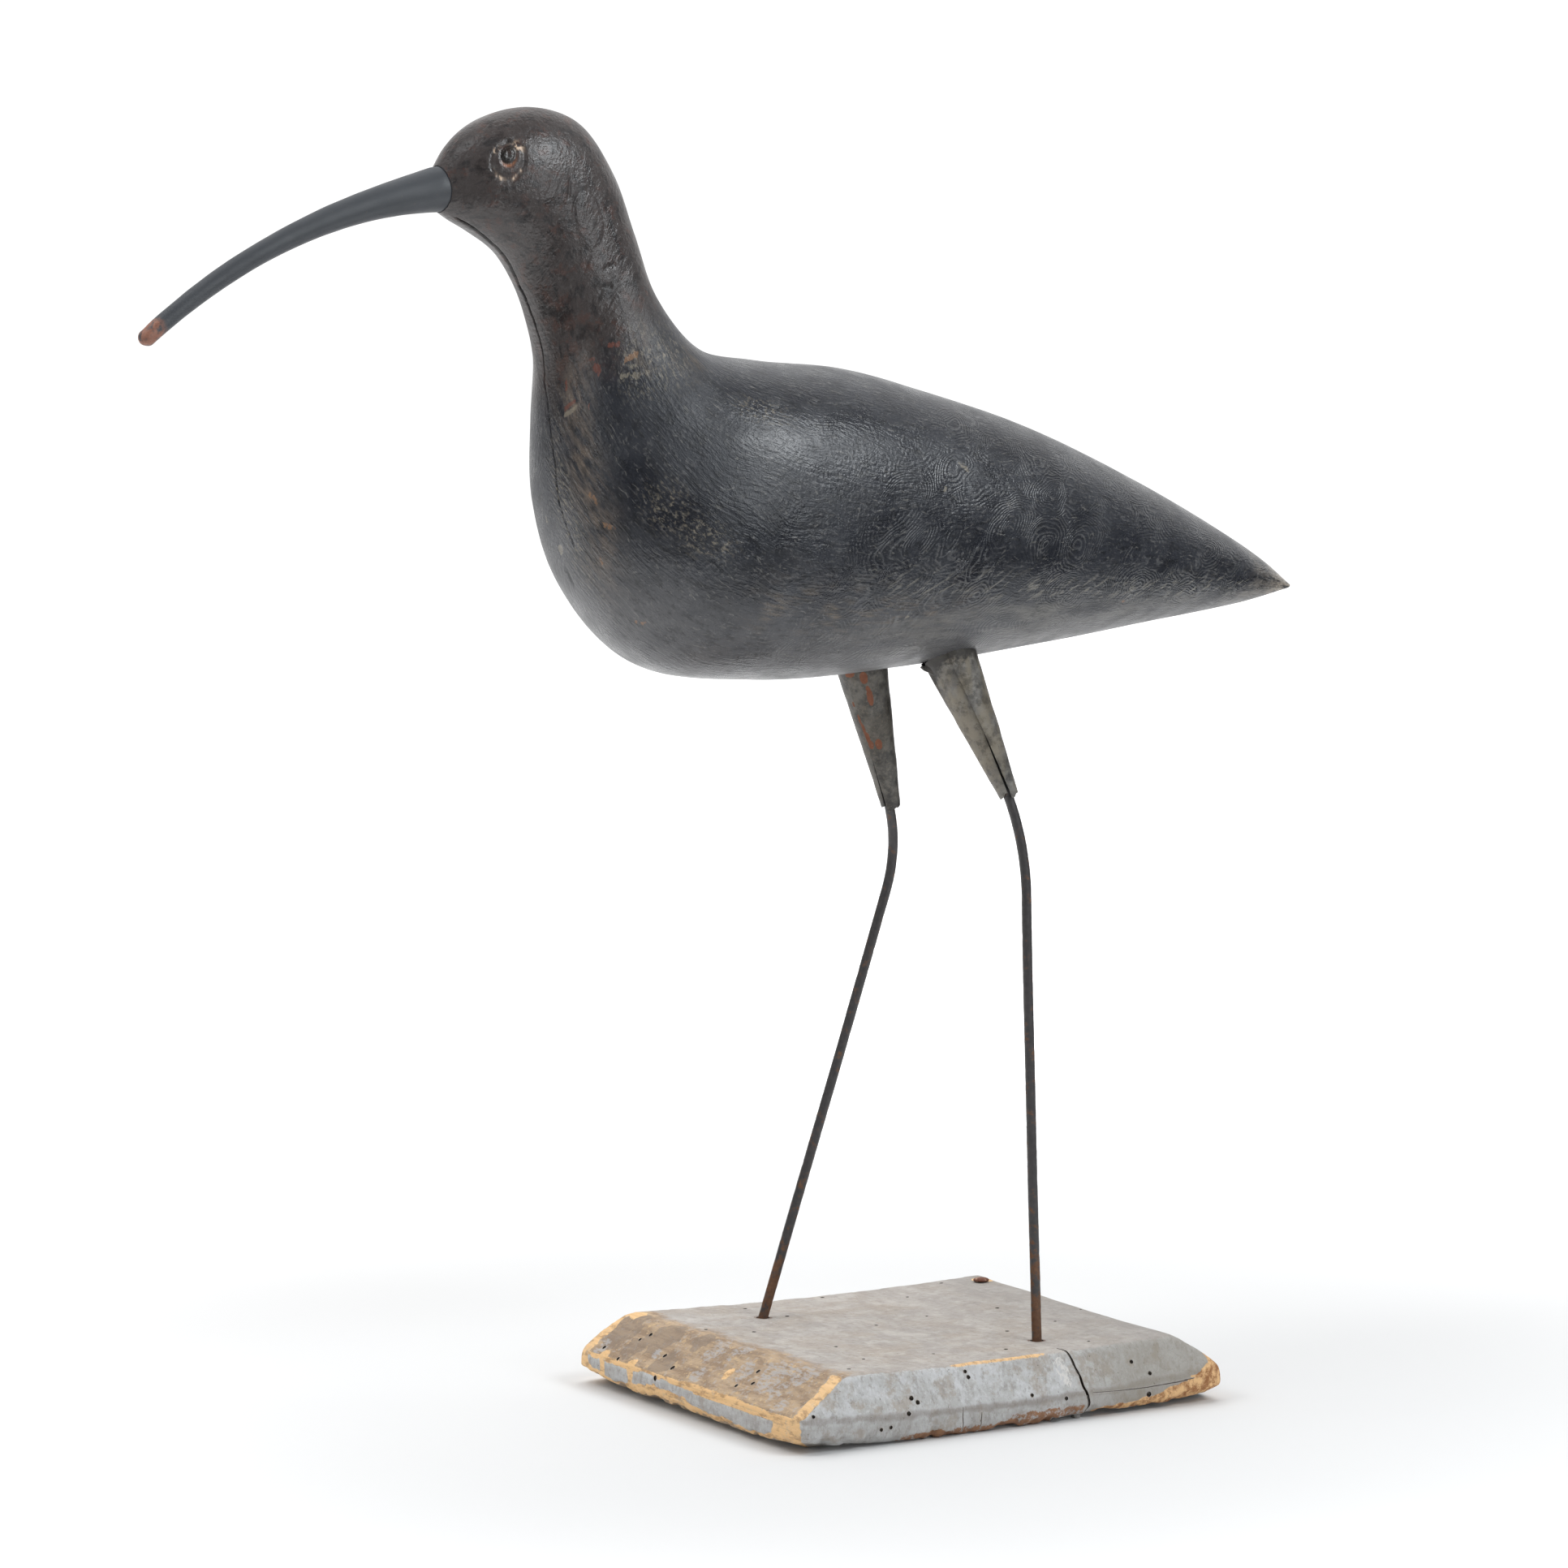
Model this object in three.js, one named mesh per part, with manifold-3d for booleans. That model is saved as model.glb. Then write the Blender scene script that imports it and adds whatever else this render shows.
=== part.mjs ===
// A shorebird decoy: a long-billed curlew carved in wood and painted, on two bent iron rods in a board.
// Millimetres, +Z up. The origin is the middle of the board's underside, the bill points along -X
// and the bird's left side faces -Y.
import * as THREE from "three";
import { mergeVertices } from "three/addons/utils/BufferGeometryUtils.js";
import Module from "manifold-3d";

const wasm = await Module();
wasm.setup();

// Clearances
const seatGap = 0.3; // between a piece and what it is let into or lies against
const holeClearance = 0.7; // round a rod in its slightly oversize hole in the board

// Bird
const birdLength = 484; // head's front to tail tip, without the bill
const bellyClearance = 316; // top of the board to the lowest point of the belly
const birdFront = -257; // x of the head's front
const medianY = -7.5; // y of the bird's middle plane

// Bill
const billReach = 143; // how far the bill stands out of the head, measured level
const billDroop = 65; // how far its tip hangs below its root
const billBend = { reach: 0.55, droop: 0.19 }; // shares of both at which the curve is pulled outwards
const billRootDiameter = 20.4;
const billMidDiameter = 11.2;
const billTipDiameter = 8;
const billSeatDepth = 14; // the part of the bill that is let into the head

// Eye: a groove cut round a dished pupil
const eyePlace = { along: 0.138, angle: 0.236 }; // on the skin, as birdSkin counts them
const eyeRingWidth = 15;
const eyeRingHeight = 18;
const eyeCutDepth = 0.9;
const pupilWidth = 6.5;
const pupilHeight = 8.7;

// Legs. Spreads are distances from the bird's middle plane.
const rodDiameter = 4.76;
const rodDepthInBird = 34;
const rodDepthInBoard = 20;
const hipSpread = 25;
const cuffSpread = 39;
const kneeSpread = 43;
const footSpread = 58.5;
// Back is +X, away from the bill. Hips and feet are places, the rest leads on from hip to cuff to knee.
const leftHipX = 7;
const leftThighBack = 25;
const leftThighDrop = 66;
const leftKneeBack = 6.2;
const leftKneeDrop = 18;
const leftKneeBend = 30;
const leftFootX = 36;
const rightHipX = -12;
const rightThighBack = 27.5;
const rightThighDrop = 75;
const rightKneeBack = 6.8;
const rightKneeDrop = 22;
const rightKneeBend = 22;
const rightFootX = -45.8;
const legs = [
  {
    name: "left",
    side: -1,
    hipX: leftHipX,
    thighBack: leftThighBack,
    thighDrop: leftThighDrop,
    kneeBack: leftKneeBack,
    kneeDrop: leftKneeDrop,
    kneeBend: leftKneeBend,
    footX: leftFootX,
  },
  {
    name: "right",
    side: 1,
    hipX: rightHipX,
    thighBack: rightThighBack,
    thighDrop: rightThighDrop,
    kneeBack: rightKneeBack,
    kneeDrop: rightKneeDrop,
    kneeBend: rightKneeBend,
    footX: rightFootX,
  },
];

// Thigh cones, rolled from sheet metal
const sheetThickness = 0.8;
const thighTopDiameter = 26;
const cuffClearance = 1.4; // between the rod and the inside of the cone's lower end

// Board
const boardLength = 244;
const boardWidth = 206;
const boardThickness = 35; // at its two ends. The plank is cupped, so its middle is lower.
const topSag = 3; // how far the middle of the top lies below the ends
const ridgeHeight = 17; // where the bevels begin, at the corners
const ridgeSag = 5;
const wornEdge = 3.6; // the lower edge is worn off by this much
const endSoftness = 0.5; // the ends' edges are broken by this much
// How far each bevel runs in from the board's outline to the top face, at both its ends
const leftBevelFront = 30;
const leftBevelBack = 24;
const rightBevelFront = 26;
const rightBevelBack = 19;
const frontBevel = 9;
const backBevelLeft = 9;
const backBevelRight = 20;
const frontLeftRadius = 7;
const frontRightRadius = 6;
const backRightRadius = 12;
const backLeftRadius = 6.5;
const frontEdge = {
  signY: -1,
  bevelLeft: frontBevel,
  bevelRight: frontBevel,
  leftRun: leftBevelFront,
  rightRun: rightBevelFront,
  leftRadius: frontLeftRadius,
  rightRadius: frontRightRadius,
};
const backEdge = {
  signY: 1,
  bevelLeft: backBevelLeft,
  bevelRight: backBevelRight,
  leftRun: leftBevelBack,
  rightRun: rightBevelBack,
  leftRadius: backLeftRadius,
  rightRadius: backRightRadius,
};

// Nail in the top of the board, close to the back corner
const nailHeadDiameter = 8;
const nailHeadHeight = 1.6;
const nailShankDiameter = 3;
const nailDepth = 22;
const nailFromRight = 28; // from the board's right and back sides
const nailFromBack = 35;

// Peg that holds up the worn right half of the board's front edge
const pegDiameter = 4.6;
const pegLength = 16;
const pegX = 38;
const pegFromFront = 7;
const wornUnderStart = 22; // x at which the worn stretch begins
const wornUnderDepth = 2.4;
const wornUnderWidth = 26;

// How finely the surfaces are divided
const birdRings = 46;
const birdSides = 30;
const billRings = 26;
const billSides = 18;
const rodSides = 10;
const rodSteps = 56;
const roundSides = 24;
const boardSteps = 40;

// The bird's sections, from the head's front to the tail tip, each cut along a line from back to belly.
// Lengths are shares of birdLength, x back from the head's front and z up from the belly's lowest point.
// half is the half width, square the exponent of the section's superellipse.
const birdSections = [
  { back: [0.002, 0.489], belly: [0.002, 0.453], half: 0.017, square: 2.0 },
  { back: [0.022, 0.517], belly: [0.018, 0.443], half: 0.028, square: 2.0 },
  { back: [0.053, 0.538], belly: [0.042, 0.431], half: 0.043, square: 2.1 },
  { back: [0.104, 0.549], belly: [0.072, 0.411], half: 0.05, square: 2.1 },
  { back: [0.152, 0.536], belly: [0.091, 0.384], half: 0.05, square: 2.1 },
  { back: [0.188, 0.49], belly: [0.105, 0.352], half: 0.051, square: 2.1 },
  { back: [0.208, 0.437], belly: [0.117, 0.306], half: 0.055, square: 2.1 },
  { back: [0.23, 0.374], belly: [0.118, 0.244], half: 0.07, square: 2.2 },
  { back: [0.273, 0.324], belly: [0.127, 0.168], half: 0.098, square: 2.3 },
  { back: [0.345, 0.31], belly: [0.158, 0.086], half: 0.122, square: 2.3 },
  { back: [0.44, 0.301], belly: [0.227, 0.018], half: 0.134, square: 2.3 },
  { back: [0.53, 0.279], belly: [0.34, 0.0], half: 0.136, square: 2.3 },
  { back: [0.64, 0.246], belly: [0.51, 0.007], half: 0.13, square: 2.3 },
  { back: [0.76, 0.198], belly: [0.68, 0.024], half: 0.105, square: 2.2 },
  { back: [0.87, 0.147], belly: [0.82, 0.041], half: 0.07, square: 2.1 },
  { back: [0.955, 0.101], belly: [0.935, 0.056], half: 0.033, square: 2.0 },
  { back: [0.997, 0.073], belly: [0.993, 0.067], half: 0.008, square: 2.0 },
];

// Turns a closed geometry into a solid that can be joined and cut.
function toSolid(geometry) {
  const bare = geometry.index ? geometry.toNonIndexed() : geometry.clone();
  bare.deleteAttribute("normal");
  bare.deleteAttribute("uv");
  const merged = mergeVertices(bare, 1e-4);
  const mesh = new wasm.Mesh({
    numProp: 3,
    vertProperties: merged.attributes.position.array,
    triVerts: new Uint32Array(merged.index.array),
  });
  return new wasm.Manifold(mesh);
}

function toGeometry(solid) {
  const mesh = solid.getMesh();
  const geometry = new THREE.BufferGeometry();
  geometry.setAttribute("position", new THREE.BufferAttribute(mesh.vertProperties, 3));
  geometry.setIndex(new THREE.BufferAttribute(mesh.triVerts, 1));
  geometry.computeVertexNormals();
  return geometry;
}

// Turns an indexed skin's faces outwards if its volume comes out negative.
function facingOut(geometry) {
  const position = geometry.attributes.position;
  const faces = Array.from(geometry.index.array);
  const corner = (index) => new THREE.Vector3().fromBufferAttribute(position, index);
  let volume = 0;
  for (let i = 0; i < faces.length; i += 3) {
    volume += corner(faces[i]).dot(corner(faces[i + 1]).cross(corner(faces[i + 2])));
  }
  if (volume < 0) geometry.setIndex(faces.reverse());
  return geometry;
}

// Skins rings of points, all of the same length, and closes the first and the last with a fan.
function loft(rings) {
  const sides = rings[0].length;
  const points = rings.flat();
  const faces = [];
  const at = (ring, side) => ring * sides + (side % sides);
  for (let ring = 0; ring + 1 < rings.length; ring++) {
    for (let side = 0; side < sides; side++) {
      faces.push(at(ring, side), at(ring, side + 1), at(ring + 1, side));
      faces.push(at(ring, side + 1), at(ring + 1, side + 1), at(ring + 1, side));
    }
  }
  const last = rings.length - 1;
  for (const ring of [0, last]) {
    const hub = points.length;
    points.push(middleOf(rings[ring]));
    for (let side = 0; side < sides; side++) {
      const rim = [at(ring, side), at(ring, side + 1)];
      if (ring === 0) rim.reverse();
      faces.push(hub, ...rim);
    }
  }
  const geometry = new THREE.BufferGeometry().setFromPoints(points);
  geometry.setIndex(faces);
  return facingOut(geometry);
}

function middleOf(points) {
  const sum = new THREE.Vector3();
  for (const point of points) sum.add(point);
  return sum.divideScalar(points.length);
}

// A smooth curve through one measure of all the bird's sections.
function sectionCurve(measure) {
  const points = birdSections.map((section) => new THREE.Vector3(...measure(section)));
  return new THREE.CatmullRomCurve3(points, false, "centripetal");
}

const backLine = sectionCurve((section) => [section.back[0], 0, section.back[1]]);
const bellyLine = sectionCurve((section) => [section.belly[0], 0, section.belly[1]]);
const widthLine = sectionCurve((section) => [section.back[0], section.half, section.square]);

// A point of the bird's skin. along runs from 0 at the head's front to 1 at the tail tip, angle is 0 in
// the middle of the left side and a quarter turn on the back. grown moves the skin outwards.
function birdSkin(along, angle, grown = 0) {
  const back = backLine.getPoint(along).multiplyScalar(birdLength);
  const belly = bellyLine.getPoint(along).multiplyScalar(birdLength);
  const width = widthLine.getPoint(along);
  const power = 2 / width.z;
  const rise = Math.sign(Math.sin(angle)) * Math.abs(Math.sin(angle)) ** power;
  const outward = Math.sign(Math.cos(angle)) * Math.abs(Math.cos(angle)) ** power;
  const halfLine = back.clone().sub(belly).divideScalar(2);
  const point = back.add(belly).divideScalar(2);
  point.addScaledVector(halfLine.clone().normalize(), rise * (halfLine.length() + grown));
  point.y -= outward * (width.y * birdLength + grown);
  return point.add(new THREE.Vector3(birdFront, medianY, boardThickness + bellyClearance));
}

function birdBlank(grown = 0) {
  const rings = [];
  for (let ring = 0; ring <= birdRings; ring++) {
    const points = [];
    for (let side = 0; side < birdSides; side++) {
      points.push(birdSkin(ring / birdRings, (side / birdSides) * 2 * Math.PI, grown));
    }
    rings.push(points);
  }
  return loft(rings);
}

// Lays a geometry round the eye's place, its X and Y along the skin and its Z outwards.
function wrapOnEye(geometry, side) {
  const { along, angle } = eyePlace;
  const step = 0.01;
  const place = birdSkin(along, angle);
  const alongLength = birdSkin(along + step, angle).distanceTo(place) / step;
  const angleLength = birdSkin(along, angle + step).distanceTo(place) / step;
  const position = geometry.attributes.position;
  for (let i = 0; i < position.count; i++) {
    const turned = angle + position.getY(i) / angleLength;
    const point = birdSkin(along + position.getX(i) / alongLength, turned, position.getZ(i));
    if (side > 0) point.y = 2 * medianY - point.y;
    position.setXYZ(i, point.x, point.y, point.z);
  }
  return toSolid(facingOut(geometry));
}

// The groove and the dished pupil of one eye, to be cut away.
function eyeCutters(side) {
  const tubeShare = eyeCutDepth / eyeRingWidth;
  const groove = new THREE.TorusGeometry(0.5, tubeShare, 6, roundSides);
  groove.scale(eyeRingWidth, eyeRingHeight, eyeRingWidth);
  const pupil = new THREE.SphereGeometry(0.5, 12, 8);
  pupil.scale(pupilWidth, pupilHeight, 2 * eyeCutDepth);
  return [wrapOnEye(groove, side), wrapOnEye(pupil, side)];
}

function carvedBird() {
  let solid = toSolid(birdBlank()).subtract(billSolid(seatGap));
  for (const leg of legs) {
    solid = solid.subtract(rodSolid(leg, seatGap));
    for (const cutter of eyeCutters(leg.side)) solid = solid.subtract(cutter);
  }
  return solid;
}

// The bill's middle line, from the head's front to the tip.
function billCurve() {
  const root = middleOf([birdSkin(0, Math.PI / 2), birdSkin(0, -Math.PI / 2)]);
  const fromRoot = (reach, droop) => new THREE.Vector3(-billReach * reach, 0, -billDroop * droop).add(root);
  return new THREE.QuadraticBezierCurve3(root, fromRoot(billBend.reach, billBend.droop), fromRoot(1, 1));
}

// The bill flares towards its root and thins a little towards its tip.
function billRadius(share) {
  const flare = (1 - share) ** 4;
  const shaft = THREE.MathUtils.lerp(billMidDiameter, billTipDiameter, share);
  return (shaft + (billRootDiameter - billMidDiameter) * flare) / 2;
}

function billRing(centre, forward, radius) {
  const across = new THREE.Vector3(0, 1, 0);
  const up = new THREE.Vector3().crossVectors(forward, across);
  const points = [];
  for (let side = 0; side < billSides; side++) {
    const angle = (side / billSides) * 2 * Math.PI;
    const point = centre.clone().addScaledVector(across, radius * Math.cos(angle));
    points.push(point.addScaledVector(up, radius * Math.sin(angle)));
  }
  return points;
}

function billSolid(grown = 0) {
  const curve = billCurve();
  const inward = curve.getTangentAt(0);
  const seat = curve.getPointAt(0).addScaledVector(inward, -billSeatDepth - grown);
  const rings = [billRing(seat, inward, billRadius(0) + grown)];
  for (let ring = 0; ring <= billRings; ring++) {
    const share = ring / billRings;
    rings.push(billRing(curve.getPointAt(share), curve.getTangentAt(share), billRadius(share) + grown));
  }
  const outward = curve.getTangentAt(1);
  const tipRadius = billRadius(1) + grown;
  for (const turn of [0.4, 0.8, 1.2, 1.45]) {
    const centre = curve.getPointAt(1).addScaledVector(outward, tipRadius * Math.sin(turn));
    rings.push(billRing(centre, outward, tipRadius * Math.cos(turn)));
  }
  return toSolid(loft(rings));
}

// The height of the belly over a place on the board.
function bellyHeight(x, y) {
  const bird = new THREE.Mesh(birdBlank());
  const ray = new THREE.Raycaster(new THREE.Vector3(x, y, 0), new THREE.Vector3(0, 0, 1));
  return ray.intersectObject(bird)[0].point.z;
}

// One leg's points: hip on the belly, cuff at the cone's lower end, knee, and foot on the board.
function legPoints(leg) {
  const spreadY = (spread) => medianY + leg.side * spread;
  const hip = new THREE.Vector3(leg.hipX, spreadY(hipSpread), bellyHeight(leg.hipX, spreadY(hipSpread)));
  const cuff = new THREE.Vector3(hip.x + leg.thighBack, spreadY(cuffSpread), hip.z - leg.thighDrop);
  const knee = new THREE.Vector3(cuff.x + leg.kneeBack, spreadY(kneeSpread), cuff.z - leg.kneeDrop);
  const foot = new THREE.Vector3(leg.footX, spreadY(footSpread), boardTopAt(leg.footX));
  return { hip, cuff, knee, foot };
}

// A rod's middle line, from inside the bird to inside the board. longer lengthens both ends.
function rodPath(leg, longer = 0) {
  const { hip, cuff, knee, foot } = legPoints(leg);
  const thigh = cuff.clone().sub(hip).normalize();
  const shin = foot.clone().sub(knee).normalize();
  const top = hip.clone().addScaledVector(thigh, -rodDepthInBird - longer);
  const bottom = foot.clone().addScaledVector(shin, rodDepthInBoard + longer);
  const towardsKnee = knee.clone().sub(top).normalize();
  const bendStart = knee.clone().addScaledVector(towardsKnee, -leg.kneeBend);
  const bendEnd = knee.clone().addScaledVector(shin, leg.kneeBend);
  const path = new THREE.CurvePath();
  path.add(new THREE.LineCurve3(top, bendStart));
  path.add(new THREE.QuadraticBezierCurve3(bendStart, knee, bendEnd));
  path.add(new THREE.LineCurve3(bendEnd, bottom));
  return path;
}

function rodSolid(leg, grown = 0) {
  const outline = [];
  for (let side = 0; side < rodSides; side++) {
    const angle = (side / rodSides) * 2 * Math.PI;
    outline.push(new THREE.Vector2(Math.cos(angle), Math.sin(angle)).multiplyScalar(rodDiameter / 2 + grown));
  }
  const extrusion = { steps: rodSteps, bevelEnabled: false, extrudePath: rodPath(leg, grown) };
  return toSolid(new THREE.ExtrudeGeometry(new THREE.Shape(outline), extrusion));
}

// The hollow cone round the top of a leg. It is drawn longer than it is and cut off at the belly.
function thighCone(leg) {
  const { hip, cuff } = legPoints(leg);
  const upward = hip.clone().sub(cuff);
  const length = upward.length();
  const cuffRadius = rodDiameter / 2 + cuffClearance + sheetThickness;
  const growth = (thighTopDiameter / 2 - cuffRadius) / length;
  const drawnLength = length + thighTopDiameter;
  const drawnRadius = cuffRadius + growth * drawnLength;
  const profile = [
    new THREE.Vector2(cuffRadius - sheetThickness, 0),
    new THREE.Vector2(cuffRadius, 0),
    new THREE.Vector2(drawnRadius, drawnLength),
    new THREE.Vector2(drawnRadius - sheetThickness, drawnLength),
    new THREE.Vector2(cuffRadius - sheetThickness, 0),
  ];
  const cone = new THREE.LatheGeometry(profile, roundSides);
  const turn = new THREE.Quaternion().setFromUnitVectors(new THREE.Vector3(0, 1, 0), upward.normalize());
  cone.applyQuaternion(turn);
  cone.translate(cuff.x, cuff.y, cuff.z);
  return toSolid(cone).subtract(toSolid(birdBlank(seatGap)));
}

// How much of the full sag the cupped plank has at x: 0 at its ends, 1 in the middle.
function cupAt(x) {
  return 1 - ((2 * x) / boardLength) ** 2;
}

function boardTopAt(x) {
  return boardThickness - topSag * cupAt(x);
}

// How far a rounded corner draws the edge in, at a distance from the board's end.
function cornerInset(fromEnd, radius) {
  const share = 1 - Math.min(fromEnd / radius, 1);
  return radius * (1 - Math.sqrt(1 - share ** 2));
}

// Half a section across the board at x, for its front or back edge, from underside to top.
function boardHalfSection(x, edge) {
  const fromLeft = boardLength / 2 + x;
  const fromRight = boardLength / 2 - x;
  const rounding = cornerInset(fromLeft, edge.leftRadius) + cornerInset(fromRight, edge.rightRadius);
  const outer = boardWidth / 2 - rounding;
  const fromEnd = Math.min(fromLeft, fromRight);
  const bottom = Math.max(wornEdge - endSoftness - fromEnd, 0);
  const ridge = ridgeHeight - ridgeSag * cupAt(x);
  const rise = Math.min(fromLeft / edge.leftRun, fromRight / edge.rightRun, 1);
  const top = ridge + Math.max((boardTopAt(x) - ridge) * rise, endSoftness);
  const bevel = THREE.MathUtils.lerp(edge.bevelLeft, edge.bevelRight, fromLeft / boardLength);
  const point = (inset, z) => new THREE.Vector3(x, edge.signY * (outer - inset), z);
  return [
    point(wornEdge - bottom, bottom),
    point(0, wornEdge),
    point(0, ridge),
    point(bevel * rise, top),
  ];
}

function baseBoard() {
  const rings = [];
  for (let step = 0; step <= boardSteps; step++) {
    // The steps are closer together towards both ends, where the corners are round.
    const x = (-boardLength / 2) * Math.cos((step / boardSteps) * Math.PI);
    const front = boardHalfSection(x, frontEdge);
    const back = boardHalfSection(x, backEdge);
    rings.push([...front, ...back.reverse()]);
  }
  const worn = new THREE.BoxGeometry(boardLength, 2 * wornUnderWidth, 2 * wornUnderDepth);
  worn.translate(wornUnderStart + boardLength / 2, -boardWidth / 2, 0);
  let solid = toSolid(loft(rings)).subtract(toSolid(worn));
  for (const leg of legs) solid = solid.subtract(rodSolid(leg, holeClearance));
  return solid.subtract(nailShank(seatGap)).subtract(frontPeg(seatGap));
}

// An upright round bar between two heights.
function roundBar(diameter, bottom, top, x, y) {
  const bar = new THREE.CylinderGeometry(diameter / 2, diameter / 2, top - bottom, roundSides / 2);
  bar.rotateX(Math.PI / 2);
  bar.translate(x, y, (top + bottom) / 2);
  return toSolid(bar);
}

// The middle of the underside of the nail's head, just clear of the board.
function nailSeat() {
  const x = boardLength / 2 - nailFromRight;
  const slope = (8 * topSag * x) / boardLength ** 2;
  const clear = seatGap + (slope * nailHeadDiameter) / 2;
  return new THREE.Vector3(x, boardWidth / 2 - nailFromBack, boardTopAt(x) + clear);
}

function nailShank(grown = 0) {
  const seat = nailSeat();
  const bottom = seat.z - nailDepth - grown;
  return roundBar(nailShankDiameter + 2 * grown, bottom, seat.z + nailHeadHeight / 2, seat.x, seat.y);
}

function boardNail() {
  const seat = nailSeat();
  const head = roundBar(nailHeadDiameter, seat.z, seat.z + nailHeadHeight, seat.x, seat.y);
  return nailShank().add(head);
}

function frontPeg(grown = 0) {
  const y = pegFromFront - boardWidth / 2;
  return roundBar(pegDiameter + 2 * grown, -grown, pegLength + grown, pegX, y);
}

const darkPaint = () => new THREE.MeshStandardMaterial({ color: 0x2b2d33, roughness: 0.45 });
const slatePaint = () => new THREE.MeshStandardMaterial({ color: 0x353a41, roughness: 0.6 });
const oldSheet = () => new THREE.MeshStandardMaterial({ color: 0x48453a, roughness: 0.5, metalness: 0.7 });
const rustyIron = () => new THREE.MeshStandardMaterial({ color: 0x2b2622, roughness: 0.65, metalness: 0.6 });
const greyBoard = () => new THREE.MeshStandardMaterial({ color: 0x8c8880, roughness: 0.85 });
const redRust = () => new THREE.MeshStandardMaterial({ color: 0x6a3a22, roughness: 0.85, metalness: 0.2 });
const greyPeg = () => new THREE.MeshStandardMaterial({ color: 0x8a857f, roughness: 0.8 });

const decoy = new THREE.Group();

function addPiece(name, solid, material) {
  const mesh = new THREE.Mesh(toGeometry(solid), material);
  mesh.name = name;
  decoy.add(mesh);
}

addPiece("carved_bird", carvedBird(), darkPaint());
addPiece("bill", billSolid(), slatePaint());
for (const leg of legs) {
  addPiece(`${leg.name}_thigh`, thighCone(leg), oldSheet());
  addPiece(`${leg.name}_leg`, rodSolid(leg), rustyIron());
}
addPiece("base_board", baseBoard(), greyBoard());
addPiece("board_nail", boardNail(), redRust());
addPiece("front_peg", frontPeg(), greyPeg());

export default decoy;
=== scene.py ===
# A shorebird decoy: a carved and painted curlew on two bent iron rods in a weathered bevelled board.
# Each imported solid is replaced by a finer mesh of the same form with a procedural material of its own.
# Lengths are millimetres in the part's frame. They become metres where a mesh is made.
import math

import bpy
import numpy as np
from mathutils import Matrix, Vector, noise
from mathutils.bvhtree import BVHTree


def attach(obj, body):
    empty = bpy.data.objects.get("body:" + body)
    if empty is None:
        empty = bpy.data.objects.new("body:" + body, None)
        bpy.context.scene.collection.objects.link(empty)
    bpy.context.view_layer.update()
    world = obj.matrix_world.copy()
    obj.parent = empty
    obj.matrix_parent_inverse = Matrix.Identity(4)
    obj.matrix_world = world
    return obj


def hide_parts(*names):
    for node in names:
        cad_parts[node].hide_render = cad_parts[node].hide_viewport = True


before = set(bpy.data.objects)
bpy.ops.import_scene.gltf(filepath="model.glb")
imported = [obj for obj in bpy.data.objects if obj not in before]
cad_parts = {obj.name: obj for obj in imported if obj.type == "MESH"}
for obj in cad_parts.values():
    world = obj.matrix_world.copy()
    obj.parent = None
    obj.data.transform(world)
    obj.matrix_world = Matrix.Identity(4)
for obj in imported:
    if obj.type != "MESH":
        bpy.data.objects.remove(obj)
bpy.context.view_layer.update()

MM = 0.001
TURN = 2 * math.pi

# Bird
BIRD_LENGTH = 484
BELLY_CLEARANCE = 316
BIRD_FRONT = -257
MEDIAN_Y = -7.5
BIRD_RINGS = 430
BIRD_SIDES = 208
# Sections from the head's front to the tail tip: x and z of the back, x and z of the belly, half width
# and the exponent of the section's superellipse. Lengths are shares of BIRD_LENGTH.
BIRD_SECTIONS = np.array([
    [0.002, 0.489, 0.002, 0.453, 0.017, 2.0],
    [0.022, 0.517, 0.018, 0.443, 0.028, 2.0],
    [0.053, 0.538, 0.042, 0.431, 0.043, 2.1],
    [0.104, 0.549, 0.072, 0.411, 0.05, 2.1],
    [0.152, 0.536, 0.091, 0.384, 0.05, 2.1],
    [0.188, 0.49, 0.105, 0.352, 0.051, 2.1],
    [0.208, 0.437, 0.117, 0.306, 0.055, 2.1],
    [0.23, 0.374, 0.118, 0.244, 0.07, 2.2],
    [0.273, 0.324, 0.127, 0.168, 0.098, 2.3],
    [0.345, 0.31, 0.158, 0.086, 0.122, 2.3],
    [0.44, 0.301, 0.227, 0.018, 0.134, 2.3],
    [0.53, 0.279, 0.34, 0.0, 0.136, 2.3],
    [0.64, 0.246, 0.51, 0.007, 0.13, 2.3],
    [0.76, 0.198, 0.68, 0.024, 0.105, 2.2],
    [0.87, 0.147, 0.82, 0.041, 0.07, 2.1],
    [0.955, 0.101, 0.935, 0.056, 0.033, 2.0],
    [0.997, 0.073, 0.993, 0.067, 0.008, 2.0],
])

# Eye. A place on the skin is a share along the bird and an angle round it.
EYE_ALONG = 0.138
EYE_ANGLE = 0.236
EYE_RING_WIDTH = 14.2
EYE_RING_HEIGHT = 17
PUPIL_WIDTH = 6.6
PUPIL_HEIGHT = 8.6
PUPIL_RISE = 2.3

# The flank swells a little where the body is widest
FLANK_PLACE = (0.59, 0.28)
FLANK_SWELL = 1.5

# Bill
BILL_REACH = 143
BILL_DROOP = 65
BILL_BEND_REACH = 0.55
BILL_BEND_DROOP = 0.19
BILL_ROOT_DIAMETER = 20.4
BILL_MID_DIAMETER = 11.2
BILL_TIP_DIAMETER = 8
BILL_SEAT_DEPTH = 14

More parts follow.
